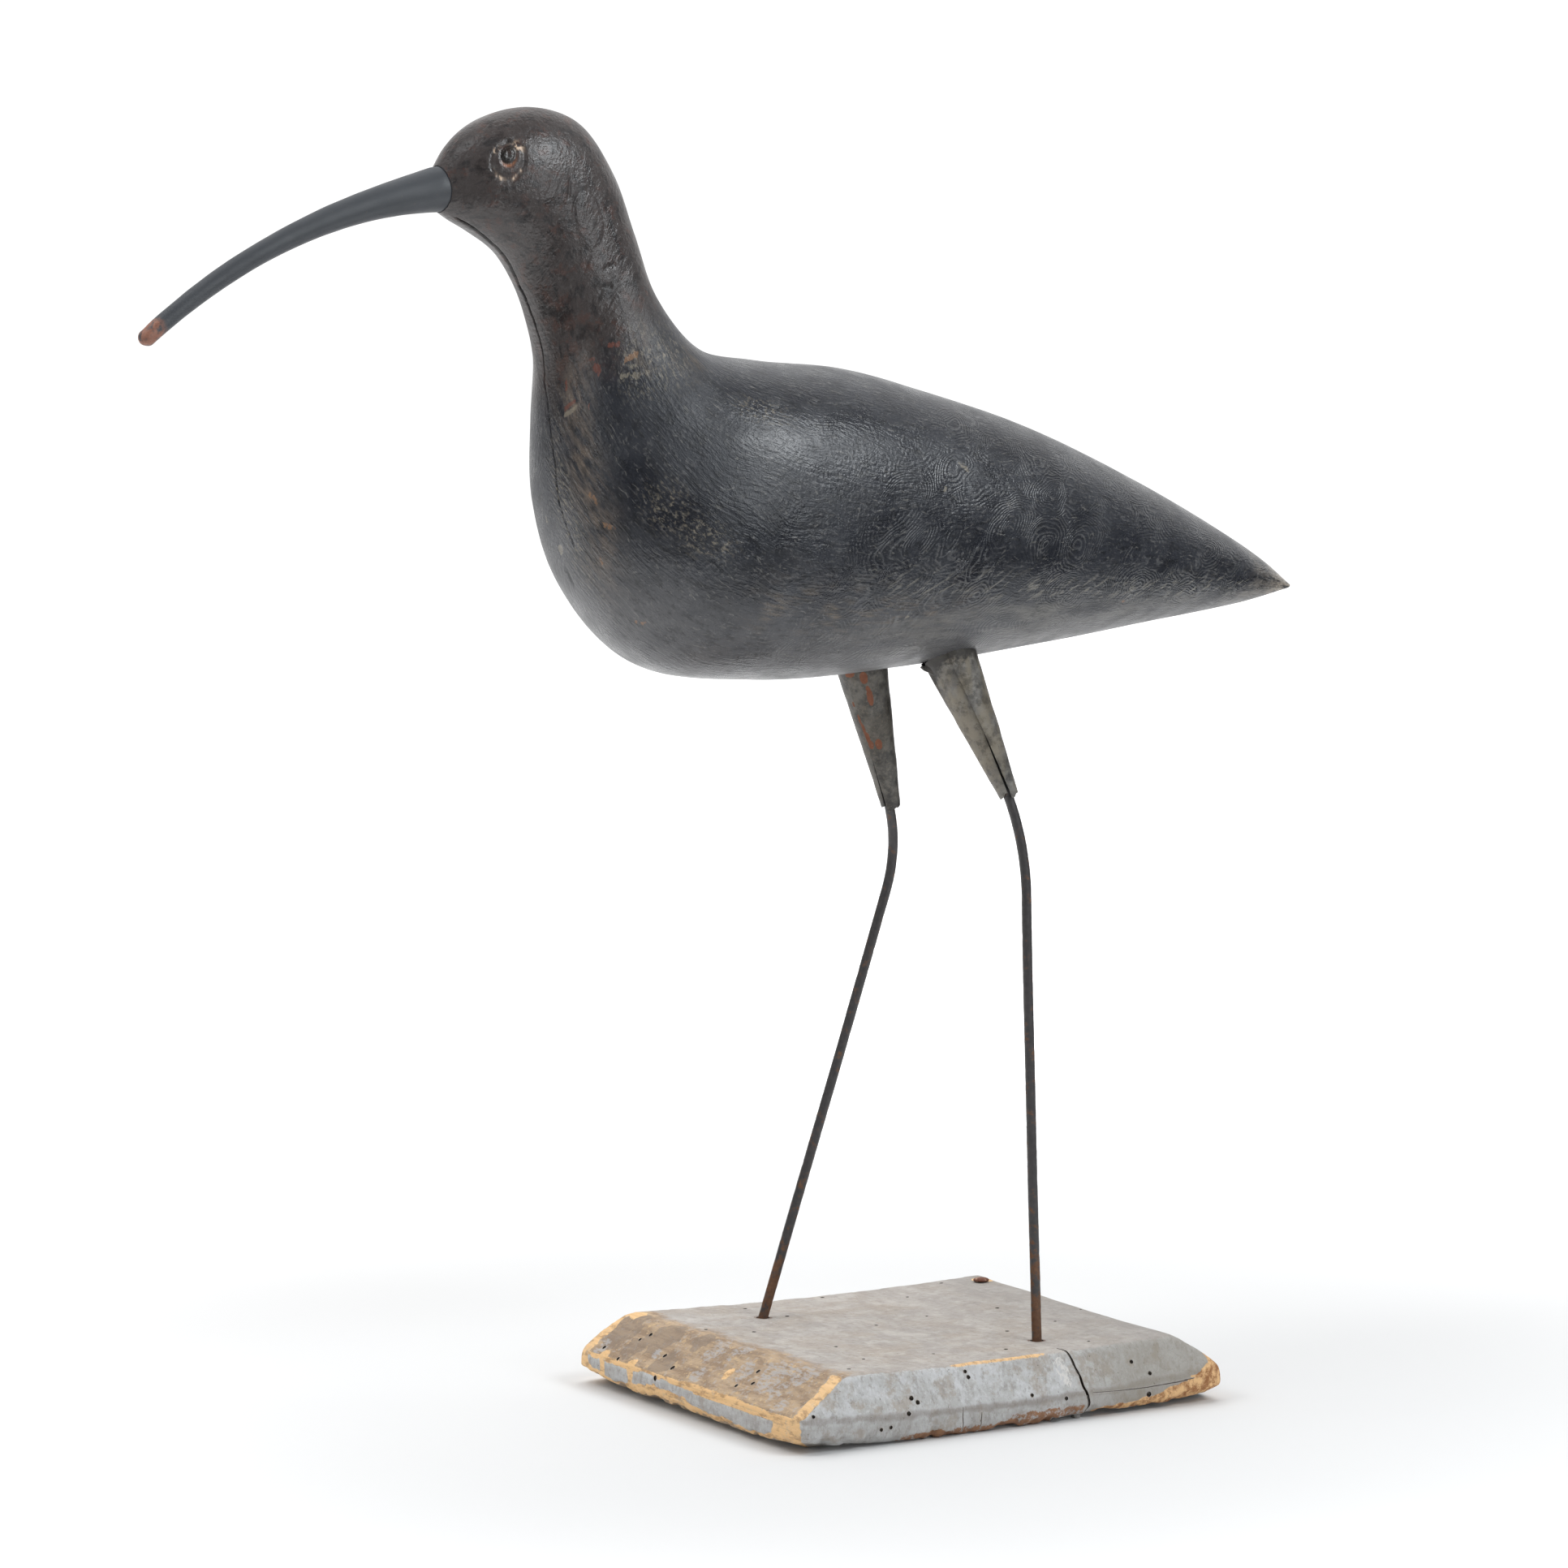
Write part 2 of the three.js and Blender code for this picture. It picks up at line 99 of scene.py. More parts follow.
# Legs
ROD_DIAMETER = 4.76
ROD_DEPTH_IN_BIRD = 34
ROD_DEPTH_IN_BOARD = 20
HIP_SPREAD = 25
CUFF_SPREAD = 39
KNEE_SPREAD = 43
FOOT_SPREAD = 58.5
LEGS = {
    "left": {
        "side": -1, "hip_x": 7, "thigh_back": 25, "thigh_drop": 66,
        "knee_back": 6.2, "knee_drop": 18, "knee_bend": 30, "foot_x": 36,
    },
    "right": {
        "side": 1, "hip_x": -12, "thigh_back": 27.5, "thigh_drop": 75,
        "knee_back": 6.8, "knee_drop": 22, "knee_bend": 22, "foot_x": -45.8,
    },
}

# Thigh cones
SHEET_THICKNESS = 0.8
THIGH_TOP_DIAMETER = 26
CUFF_CLEARANCE = 1.4
THIGH_ROWS = 90
THIGH_COLUMNS = 150

# Board
BOARD_LENGTH = 244
BOARD_WIDTH = 206
BOARD_THICKNESS = 35
TOP_SAG = 3
RIDGE_HEIGHT = 17
RIDGE_SAG = 5
WORN_EDGE = 3.6
END_SOFTNESS = 0.5
FRONT_EDGE = {
    "sign": -1, "bevel_left": 9, "bevel_right": 9,
    "left_run": 30, "right_run": 26, "left_radius": 7, "right_radius": 6,
}
BACK_EDGE = {
    "sign": 1, "bevel_left": 9, "bevel_right": 20,
    "left_run": 24, "right_run": 19, "left_radius": 6.5, "right_radius": 12,
}
BOARD_VOXEL = 1.35
HOLE_CLEARANCE = 0.9

# Nail and peg
NAIL_HEAD_DIAMETER = 8
NAIL_HEAD_HEIGHT = 1.6
NAIL_SHANK_DIAMETER = 3
NAIL_DEPTH = 22
NAIL_FROM_RIGHT = 28
NAIL_FROM_BACK = 35
PEG_DIAMETER = 4.6
PEG_LENGTH = 16
PEG_X = 38
PEG_FROM_FRONT = 7
WORN_UNDER_START = 22
WORN_UNDER_DEPTH = 2.4
WORN_UNDER_WIDTH = 26

SEAT_GAP = 0.3


# Small helpers in numpy

def wobble(points, size, seed):
    """Smooth noise from about -1 to 1 at each point, with waves of about the given size."""
    shifted = np.asarray(points, float) / np.asarray(size, float) + seed * 17.31
    return np.array([noise.noise(Vector(place)) for place in shifted])


def smooth(value, low, high):
    """0 below low, 1 above high, and a smooth step between. It falls where high is below low."""
    share = np.clip((value - low) / (high - low), 0, 1)
    return share * share * (3 - 2 * share)


def bell(distance, width):
    return np.exp(-((distance / width) ** 2))


def spaced(count, low, high, peaks):
    """Places from low to high, closer together round each peak (place, width, strength)."""
    fine = np.linspace(low, high, 4000)
    density = np.ones_like(fine)
    for place, width, strength in peaks:
        density += strength * bell(fine - place, width)
    total = np.concatenate([[0], np.cumsum((density[1:] + density[:-1]) / 2)])
    return np.interp(np.linspace(0, total[-1], count), total, fine)


def unit(vectors):
    return vectors / np.maximum(np.linalg.norm(vectors, axis=-1, keepdims=True), 1e-9)


def lengths_along(line):
    """Each point's distance from the line's start, measured along it."""
    return np.concatenate([[0], np.cumsum(np.linalg.norm(np.diff(line, axis=0), axis=1))])


def circle(sides):
    """Points of a flat circle of radius 1 round the upright axis."""
    angle = np.arange(sides) / sides * TURN
    return np.stack([np.cos(angle), np.sin(angle), 0 * angle], axis=1)


def catmull(points, share):
    """Centripetal Catmull-Rom curve through the points, at shares from 0 to 1."""
    ends = np.vstack([2 * points[0] - points[1], points, 2 * points[-1] - points[-2]])
    place = np.clip(share, 0, 1) * (len(points) - 1)
    index = np.minimum(place.astype(int), len(points) - 2)
    t = (place - index)[:, None]
    p0, p1, p2, p3 = (ends[index + step] for step in range(4))
    d0, d1, d2 = (np.linalg.norm(b - a, axis=1)[:, None] ** 0.5 for a, b in ((p0, p1), (p1, p2), (p2, p3)))
    start = ((p1 - p0) / d0 - (p2 - p0) / (d0 + d1) + (p2 - p1) / d1) * d1
    end = ((p2 - p1) / d1 - (p3 - p1) / (d1 + d2) + (p3 - p2) / d2) * d1
    bend = -3 * p1 + 3 * p2 - 2 * start - end
    return p1 + start * t + bend * t ** 2 + (2 * p1 - 2 * p2 + start + end) * t ** 3


# Meshes

def add_attribute(mesh, name, values):
    """One value or vector a point."""
    kind, field = ("FLOAT_VECTOR", "vector") if values.ndim == 2 else ("FLOAT", "value")
    data = mesh.attributes.new(name, kind, "POINT").data
    data.foreach_set(field, values.astype(np.float32).ravel())


def make_object(name, points, faces, attributes=None):
    """A mesh object from points in millimetres."""
    mesh = bpy.data.meshes.new(name)
    mesh.from_pydata(np.asarray(points) * MM, [], faces)
    for key, values in (attributes or {}).items():
        add_attribute(mesh, key, values)
    mesh.validate()
    mesh.shade_smooth()
    thing = bpy.data.objects.new(name, mesh)
    bpy.context.scene.collection.objects.link(thing)
    return thing


def grid_faces(rings, sides, closed=True):
    """Quads between neighbouring rings. closed joins the last side to the first."""
    ring, side = np.meshgrid(np.arange(rings - 1), np.arange(sides if closed else sides - 1), indexing="ij")
    here = (ring * sides + side).ravel()
    beside = (ring * sides + (side + 1) % sides).ravel()
    return np.stack([here, beside, beside + sides, here + sides], axis=1)


def facing_out(points, faces):
    """The faces of a closed skin, all turned over if they face inwards."""
    fans = np.array([(face[0], *face[step:step + 2]) for face in faces for step in range(1, len(face) - 1)])
    a, b, c = points[fans].transpose(1, 0, 2)
    return faces if (a * np.cross(b, c)).sum() >= 0 else [face[::-1] for face in faces]


def capped_loft(rings):
    """Points and faces of a closed skin over rings of points, shape (rings, sides, 3)."""
    count, sides = rings.shape[:2]
    points = np.vstack([rings.reshape(-1, 3), rings[0].mean(0), rings[-1].mean(0)])
    faces = grid_faces(count, sides).tolist()
    first = count * sides
    last = (count - 1) * sides
    for side in range(sides):
        beside = (side + 1) % sides
        faces.append([first, beside, side])
        faces.append([first + 1, last + side, last + beside])
    return points, facing_out(points, faces)


def roughened(rings, middle, shape):
    """A closed skin over the rings, with each point moved out from the middle by its shape's value."""
    outward = unit((rings - middle).reshape(-1, 3))
    return capped_loft((rings.reshape(-1, 3) + outward * shape[:, None]).reshape(rings.shape))


def applied(thing):
    """Bakes an object's modifiers into its mesh."""
    bpy.context.view_layer.update()
    graph = bpy.context.evaluated_depsgraph_get()
    mesh = bpy.data.meshes.new_from_object(thing.evaluated_get(graph), depsgraph=graph)
    thing.modifiers.clear()
    thing.data = mesh
    return thing


def cut(thing, cutters, sharp_angle):
    """Takes the cutters, closed meshes, away from the thing and deletes them."""
    for cutter in cutters:
        boolean = thing.modifiers.new("cut", "BOOLEAN")
        boolean.operation = "DIFFERENCE"
        boolean.solver = "EXACT"
        boolean.object = cutter
    applied(thing)
    for cutter in cutters:
        bpy.data.objects.remove(cutter, do_unlink=True)
    thing.data.shade_smooth()
    thing.data.set_sharp_from_angle(angle=math.radians(sharp_angle))


def joined(name, parts):
    """One mesh object from a list of (points, faces)."""
    points = []
    faces = []
    for part_points, part_faces in parts:
        offset = sum(len(earlier) for earlier in points)
        points.append(part_points)
        faces += [[index + offset for index in face] for face in part_faces]
    return make_object(name, np.vstack(points), faces)


def tube_rings(path, radius, sides):
    """Round rings along a path of points. radius is one number, or one a ring."""
    forward = unit(np.gradient(path, axis=0))
    across = np.tile([0.0, 1.0, 0.0], (len(path), 1))
    across = unit(across - (across * forward).sum(1)[:, None] * forward)
    up = np.cross(forward, across)
    cosine, sine, _ = circle(sides).T[:, None, :, None]
    return path[:, None] + (cosine * across[:, None] + sine * up[:, None]) * np.reshape(radius, (-1, 1, 1))


def turned_rings(profile, centre, sides):
    """Rings round an upright axis from a profile of (radius, height)."""
    return np.array([circle(sides) * radius + centre + [0, 0, height] for radius, height in profile])


def finish_piece(thing, node, material):
    """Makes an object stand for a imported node."""
    thing.data.materials.clear()
    thing.data.materials.append(material)
    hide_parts(node)
    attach(thing, "root")


# The bird's skin

NOUGHT = np.zeros(len(BIRD_SECTIONS))
BACK_LINE = np.stack([BIRD_SECTIONS[:, 0], NOUGHT, BIRD_SECTIONS[:, 1]], axis=1)
BELLY_LINE = np.stack([BIRD_SECTIONS[:, 2], NOUGHT, BIRD_SECTIONS[:, 3]], axis=1)
WIDTH_LINE = BIRD_SECTIONS[:, [0, 4, 5]]
SKIN_ORIGIN = np.array([BIRD_FRONT, MEDIAN_Y, BOARD_THICKNESS + BELLY_CLEARANCE], float)


def bird_skin(along, angle):
    """Points of the plain skin. along is 0 at the head's front and 1 at the tail tip. angle is 0 in the
    middle of the left side and a quarter turn on the back."""
    along, angle = np.broadcast_arrays(np.asarray(along, float), np.asarray(angle, float))
    shape = along.shape
    along = along.ravel()
    angle = angle.ravel()
    back = catmull(BACK_LINE, along) * BIRD_LENGTH
    belly = catmull(BELLY_LINE, along) * BIRD_LENGTH
    width = catmull(WIDTH_LINE, along)
    power = 2 / width[:, 2]
    rise = np.sign(np.sin(angle)) * np.abs(np.sin(angle)) ** power
    outward = np.sign(np.cos(angle)) * np.abs(np.cos(angle)) ** power
    point = (back + belly) / 2 + (back - belly) / 2 * rise[:, None]
    point[:, 1] -= outward * width[:, 1] * BIRD_LENGTH
    return (point + SKIN_ORIGIN).reshape(shape + (3,))


SKIN_SHARES = np.linspace(0, 1, 400)
BACK_POINTS, BELLY_POINTS = (bird_skin(SKIN_SHARES, side * math.pi / 2) for side in (1, -1))
HALF_HEIGHTS = np.linalg.norm(BACK_POINTS - BELLY_POINTS, axis=1) / 2
HALF_WIDTHS = catmull(WIDTH_LINE, SKIN_SHARES)[:, 1] * BIRD_LENGTH
ARC_LENGTHS = lengths_along((BACK_POINTS + BELLY_POINTS) / 2)


def arc_length(along):
    """Millimetres from the head's front along the bird's middle."""
    return np.interp(along, SKIN_SHARES, ARC_LENGTHS)


def turn_length(along, angle):
    """Millimetres on the skin for one radian round it."""
    tall = np.interp(along, SKIN_SHARES, HALF_HEIGHTS)
    wide = np.interp(along, SKIN_SHARES, HALF_WIDTHS)
    return np.hypot(tall * np.cos(angle), wide * np.sin(angle))


def turned(angle, middle):
    """The angle's distance from middle the short way round."""
    return (angle - middle + math.pi) % TURN - math.pi


class Skin:
    """Every point of the bird's mesh as a place on the skin, with distances in millimetres. depth is how
    far each point is raised, or carved in where it is negative. masks, from 0 to 1, steer the paint."""

    def __init__(self, along, angle, points):
        self.along = along
        self.angle = angle
        self.points = points
        self.arc = arc_length(along)
        self.depth = np.zeros(len(points))
        self.masks = {}

    def mark(self, name, values):
        self.masks[name] = np.clip(np.maximum(self.masks.get(name, 0), values), 0, 1)

    def offsets(self, along, angle):
        """How far each point lies behind and above a place on the skin."""
        behind = self.arc - arc_length(along)
        above = turned(self.angle, angle) * turn_length(along, angle)
        return behind, above

    def above_line(self, places):
        """How far each point lies above a line that runs along the bird through the places."""
        line = np.interp(self.along, *np.transpose(places))
        return turned(self.angle, line) * turn_length(self.along, self.angle)

    def from_segment(self, start, end):
        """Distance from a short straight stroke between two places."""
        behind, above = self.offsets(*start)
        reach = arc_length(end[0]) - arc_length(start[0])
        rise = turned(end[1], start[1]) * turn_length(*start)
        share = np.clip((behind * reach + above * rise) / (reach ** 2 + rise ** 2), 0, 1)
        return np.hypot(behind - share * reach, above - share * rise), share

    def spot(self, place, length, height, softness=0.35):
        """1 inside an oval spot on the skin, fading to 0 at its rim."""
        behind, above = self.offsets(*place)
        return smooth(np.hypot(behind / (length / 2), above / (height / 2)), 1 + softness, 1 - softness)


# Details of the bird, as places on its skin
THROAT_CRACK = [
    (0.063, -1.21), (0.112, -1.289), (0.16, -1.438), (0.219, -1.542), (0.256, -1.569), (0.321, -1.507),
    (0.354, -1.49), (0.391, -1.534), (0.42, -1.42), (0.463, -1.394), (0.493, -1.438), (0.531, -1.376),
]
CRACK_DEPTH = 1.7
KNOT_PLACE = (0.288, 0.06)
KNOT_LENGTH = 24
KNOT_WIDTH = 20
# Creases, each from one place to another, with its depth and half width
CREASES = [
    ((0.341, -0.039), (0.356, 0.214), 0.7, 0.8),
    ((0.351, -0.188), (0.366, 0.048), 0.6, 0.8),
    ((0.372, -0.1), (0.379, 0.16), 0.4, 0.8),
    ((0.318, -0.3), (0.312, -0.1), 0.35, 0.7),
    ((0.243, -0.02), (0.235, 0.2), 0.5, 0.8),
    ((0.385, -0.3), (0.392, -0.05), 0.4, 0.8),
    ((0.539, -1.586), (0.554, -1.577), 0.5, 0.5),
    ((0.673, 0.441), (0.677, 0.616), 0.3, 0.5),
    ((0.69, 0.5), (0.664, 0.56), 0.2, 0.4),
]
# Marks in the paint, each from one place to another, with its half width
RED_MARKS = [
    ((0.405, -0.223), (0.414, -0.066), 0.8),
    ((0.407, -0.502), (0.416, -0.441), 1.3),
    ((0.398, -0.564), (0.401, -0.494), 0.6),
    ((0.421, -0.904), (0.422, -1.08), 1.1),
    ((0.398, -1.036), (0.406, -1.036), 0.6),
    ((0.434, -0.695), (0.438, -0.677), 0.6),
]
TAN_MARKS = [
    ((0.430, -0.048), (0.436, 0.092), 1.0),
    ((0.494, -1.001), (0.497, -0.957), 0.8),
    ((0.497, -0.948), (0.504, -0.922), 0.9),
    ((0.517, -0.966), (0.523, -0.87), 0.9),
    ((0.539, -1.14), (0.541, -1.14), 0.7),
    ((0.586, -1.184), (0.59, -1.114), 0.6),
    ((0.824, -0.502), (0.826, -0.502), 0.8),
]
PALE_MARKS = [
    ((0.446, -0.022), (0.448, -0.013), 1.0),
    ((0.437, -0.179), (0.441, -0.074), 0.7),
    ((0.428, -1.1), (0.427, -0.9), 1.0),
    ((0.526, -1.577), (0.528, -1.586), 1.2),
    ((0.506, -1.691), (0.509, -1.691), 0.7),
    ((0.714, -0.52), (0.714, -0.485), 0.9),
    ((0.701, 0.52), (0.705, 0.485), 1.2),
    ((0.697, 0.301), (0.695, 0.24), 0.35),
    ((0.699, 0.371), (0.697, 0.301), 0.4),
    ((0.696, 0.188), (0.697, 0.1), 0.3),
]
# Patches of olive and cream scuffs: place, length and height
SCUFFS = [
    ((0.464, 0.48), 24, 26), ((0.44, 0.1), 26, 22), ((0.535, -0.389), 20, 20), ((0.569, -0.36), 16, 16),
    ((0.58, -0.31), 18, 12), ((0.556, 0.53), 26, 14), ((0.5, -1.35), 60, 14),
]
# Where the gloss is worn off: place, length and height
DULL_SPOTS = [((0.455, 0.45), 60, 46), ((0.51, 0.03), 60, 34)]
# Lines along the bird: a worn band on the breast, slanted strokes above the tail's chine, and the chine
BREAST_BAND = [(0.36, -0.75), (0.45, -0.95), (0.52, -1.02), (0.58, -1.25)]
CHINE_STROKES = [(0.68, -0.25), (0.743, -0.25), (0.834, -0.33), (0.908, -0.28), (0.98, -0.2)]
CHINE = [(0.72, -0.5), (0.743, -0.406), (0.834, -0.468), (0.908, -0.389), (0.98, -0.3)]


def carve_eyes(skin):
    """Both eyes: a groove round a dome, and a dished pupil. Parts of the groove keep old cream paint."""
    points = skin.points
    uneven = 0.8 + 0.6 * wobble(points, 4, 31)
    flakes = smooth(wobble(points, 1.5, 32) + 0.4 * wobble(points, 0.8, 34), -0.1, 0.25)
    broken = smooth(wobble(points, 2.6, 38), -0.55, 0.0)
    for angle, upward in ((EYE_ANGLE, 1), (math.pi - EYE_ANGLE, -1)):
        behind, above = skin.offsets(EYE_ALONG, angle)
        above = above * upward
        above_pupil = above - PUPIL_RISE
        ring = np.hypot(behind / (EYE_RING_WIDTH / 2), above / (EYE_RING_HEIGHT / 2))
        pupil = np.hypot(behind / (PUPIL_WIDTH / 2), above_pupil / (PUPIL_HEIGHT / 2))
        skin.depth += 0.3 * smooth(ring, 0.95, 0.5) - 0.6 * uneven * bell(ring - 1, 0.15)
        skin.depth -= 0.6 * bell(pupil - 1, 0.28) + 0.2 * smooth(pupil, 0.8, 0.1)
        skin.mark("dark", 0.8 * smooth(pupil, 1.15, 0.9) * (1 - 0.6 * smooth(pupil, 0.6, 0.2)))
        direction = np.arctan2(above, behind)
        upper_flake = bell(turned(direction, 0.9), 0.34) * bell(ring - 0.9, 0.2)
        small_flake = 0.8 * bell(turned(direction, 2.3), 0.2) * bell(ring - 0.98, 0.14)
        lower_arc = smooth(np.abs(turned(direction, -1.6)), 1.15, 0.85) * bell(ring - 1.0, 0.07)
        skin.mark("cream", 1.6 * (upper_flake + small_flake) * flakes)
        skin.mark("cream", 1.6 * 0.85 * lower_arc * (0.15 + 0.85 * flakes) * broken)
        round_pupil = np.arctan2(above_pupil, behind)
        skin.mark("orange", bell(pupil - 1.12, 0.2) * bell(turned(round_pupil, -1.5), 0.8))


def carve_throat_crack(skin):
    wander = 0.45 * wobble(np.stack([skin.arc, skin.arc * 0, skin.arc * 0], axis=1), 5, 33)
    away = np.abs(skin.above_line(THROAT_CRACK) + wander)
    wide = np.interp(skin.along, [0.05, 0.1, 0.2, 0.3, 0.36, 0.54], [0.3, 0.7, 0.9, 0.5, 0.3, 0.25])
    ends = smooth(skin.along, 0.055, 0.075) * smooth(skin.along, 0.54, 0.52)
    skin.depth -= CRACK_DEPTH * ends * bell(away, wide) * np.interp(
        skin.along, [0.1, 0.28, 0.36], [1, 0.7, 0.3])
    # Painted shade: the crack is painted dark along its line, for the shade inside it.
    skin.mark("dark", ends * bell(away, wide * 1.1) * np.interp(skin.along, [0.28, 0.38], [1, 0.5]))


def carve_knot(skin):
    """The knot shows as an oval crease, clearest above and behind."""
    behind, above = skin.offsets(*KNOT_PLACE)
    oval = np.hypot(behind / (KNOT_LENGTH / 2), above / (KNOT_WIDTH / 2)) + 0.06 * wobble(skin.points, 7, 35)
    around = np.arctan2(above, behind)
    clear = bell(turned(around, 1.2), 0.9) + bell(turned(around, -2.7), 0.6) + 0.12
    skin.depth += 0.3 * smooth(oval, 1.05, 0.5) - 0.45 * clear * bell(oval - 1, 0.07)
    skin.depth -= 0.15 * bell(oval - 0.55, 0.1) * bell(turned(around, 0.6), 0.8)


def carve_creases(skin):
    for start, end, deep, width in CREASES:
        away, share = skin.from_segment(start, end)
        crease = bell(away, width) * smooth(share, 0, 0.15) * smooth(share, 1, 0.85)
        skin.depth -= deep * crease
        # Painted shade: each crease is painted darker the deeper it is carved.
        skin.mark("dark", 0.6 * deep * crease)


def carve_marks(skin):
    """Shallow strokes where the top paint has come off."""
    ragged = 0.5 * wobble(skin.points, 2.2, 36) + 0.3 * wobble(skin.points, 1.1, 37)
    for name, marks, deep in (("red", RED_MARKS, 0.15), ("tan", TAN_MARKS, 0.3), ("pale", PALE_MARKS, 0.15)):
        for start, end, width in marks:
            away, _ = skin.from_segment(start, end)
            skin.mark(name, smooth(away + ragged * width, width * 1.9 + 0.4, 0))
        skin.depth -= deep * smooth(skin.masks[name], 0.4, 0.8)


def stain_bird(skin):
    """Where the paint is browner, redder, ochre or rubbed, and where the belly and the plane under the tail
    are painted lighter for light bounced up from the floor.
    """
    along = skin.along
    broad = wobble(skin.points, 26, 41)
    patchy = wobble(skin.points, 9, 42)
    fine = wobble(skin.points, 3.5, 43)
    # Head and neck are brown, with a ragged change to slate at the neck's foot
    neck_foot = 0.425 + 0.02 * np.sin(skin.angle)
    skin.mark("head", smooth(along + 0.012 * broad + 0.008 * patchy, neck_foot + 0.03, neck_foot - 0.03))
    band = bell(skin.above_line(BREAST_BAND) + 3 * patchy, 11)
    skin.mark("worn", band * smooth(along, 0.36, 0.42) * smooth(along, 0.6, 0.52) * (0.75 + 0.5 * patchy))
    shoulder = skin.spot((0.475, 0.68), 26, 24, 0.6) + skin.spot((0.44, 0.2), 22, 16, 0.6)
    low_flank = bell(turned(skin.angle, -0.5), 0.2) * smooth(along, 0.6, 0.65) * smooth(along, 0.78, 0.7)
    skin.mark("ochre", (0.8 * shoulder + low_flank) * smooth(patchy + 0.4 * fine, -0.5, 0.5))
    skin.mark("scuffed", sum(skin.spot(*spot, 0.8) for spot in SCUFFS))
    skin.mark("matte", sum(skin.spot(*spot, 0.8) for spot in DULL_SPOTS))
    strokes = bell(skin.above_line(CHINE_STROKES) + 2 * patchy, 7)
    skin.mark("chine", strokes * smooth(along, 0.66, 0.72) * smooth(along, 0.97, 0.93))
    # Painted light: the belly is painted lighter, for light bounced up from the floor.
    skin.mark("belly", smooth(np.abs(turned(skin.angle, -math.pi / 2)), 1.25, 0.5) * smooth(along, 0.5, 0.6))
    skin.mark("combed", smooth(along + 0.03 * broad, 0.6, 0.72) * smooth(along, 0.99, 0.94))
    skin.mark("tip", smooth(along + 0.02 * patchy + 0.01 * fine, 0.9, 1.0))
    # The smoother plane under the tail, below a soft chine. It is painted lighter, partly rubbed paint and
    # partly painted light bounced up from the floor.
    under = smooth(skin.above_line(CHINE) + 1.5 * patchy, 1, -4) * smooth(along, 0.66, 0.76)
    skin.mark("under", under * smooth(skin.angle, -2.75, -2.6))


def carved_bird(material, bill, rods):
    along = spaced(BIRD_RINGS, 0, 1, [(EYE_ALONG, 0.03, 1.6), (0.25, 0.16, 0.5)])
    eye_right = math.pi - EYE_ANGLE
    angle = spaced(BIRD_SIDES + 1, -math.pi, math.pi, [
        (-1.47, 0.2, 3.0), (EYE_ANGLE, 0.4, 1.2), (eye_right, 0.35, 0.8), (eye_right - TURN, 0.35, 0.8),
    ])[:-1]
    along, angle = np.meshgrid(along, angle, indexing="ij")
    rings = bird_skin(along, angle)
    beside = np.roll(rings, -1, axis=1) - np.roll(rings, 1, axis=1)
    normals = unit(np.cross(np.gradient(rings, axis=0), beside)).reshape(-1, 3)
    points = rings.reshape(-1, 3)
    if ((points - points.mean(0)) * normals).sum() < 0:
        normals = -normals
    skin = Skin(along.ravel(), angle.ravel(), points)
    for carve in (carve_eyes, carve_throat_crack, carve_knot, carve_creases, carve_marks, stain_bird):
        carve(skin)
    lumps = 0.35 * wobble(points, 60, 1) + 0.09 * wobble(points, 20, 2) + 0.03 * wobble(points, 6, 3)
    lumps += FLANK_SWELL * skin.spot(FLANK_PLACE, 96, 84, 0.95)
    fading = smooth(skin.along, 1, 0.97)
    points = points + normals * (lumps * (0.3 + 0.7 * fading) + skin.depth)[:, None]
    # The lay of the brush: millimetres along the bird and round it, alike on both sides
    across = np.interp(skin.along, SKIN_SHARES, HALF_WIDTHS)
    on_right = np.abs(skin.angle) > math.pi / 2
    folded = np.where(on_right, np.sign(skin.angle) * math.pi - skin.angle, skin.angle)
    masks = {**skin.masks, "lay": np.stack([skin.arc, across * folded, 0 * folded], axis=1)}
    attributes = {name: np.concatenate([values, values[[0, -1]]]) for name, values in masks.items()}
    bird = make_object("carved_bird_skin", *capped_loft(points.reshape(rings.shape)), attributes)
    cut(bird, [bill, *rods], 55)
    finish_piece(bird, "carved_bird", material)


# The bill

def bent_line(start, bend, end, shares):
    """A curve from start to end that sets out for bend."""
    t = shares[:, None]
    return (1 - t) ** 2 * start + 2 * t * (1 - t) * bend + t ** 2 * end


def bill_path(shares):
    root = (BACK_POINTS[0] + BELLY_POINTS[0]) / 2
    bend = root + np.array([-BILL_REACH * BILL_BEND_REACH, 0, -BILL_DROOP * BILL_BEND_DROOP])
    tip = root + np.array([-BILL_REACH, 0, -BILL_DROOP])
    return bent_line(root, bend, tip, shares)


def bill_radius(share):
    shaft = BILL_MID_DIAMETER + (BILL_TIP_DIAMETER - BILL_MID_DIAMETER) * share
    return (shaft + (BILL_ROOT_DIAMETER - BILL_MID_DIAMETER) * (1 - share) ** 4) / 2


def bill_rings(rings, sides, grown=0.0):
    """Rings from inside the head to the rounded tip, and each ring's share of the bill's length."""
    fine = np.linspace(0, 1, 600)
    lengths = lengths_along(bill_path(fine))
    shares = np.linspace(0, 1, rings)
    path = bill_path(np.interp(shares * lengths[-1], lengths, fine))
    seat = path[0] + unit(path[0] - path[1]) * np.linspace(BILL_SEAT_DEPTH + grown, 2, 6)[:, None]
    turns = np.linspace(0.15, 1.5, 9)
    tip_radius = bill_radius(1) + grown
    tip = path[-1] + unit(path[-1] - path[-2]) * (tip_radius * np.sin(turns))[:, None]
    seat_radii = np.full(len(seat), bill_radius(0) + grown)
    radii = np.concatenate([seat_radii, bill_radius(shares) + grown, tip_radius * np.cos(turns)])
    all_shares = np.concatenate([np.zeros(len(seat)), shares, np.ones(len(tip))])
    return tube_rings(np.vstack([seat, path, tip]), radii, sides), all_shares


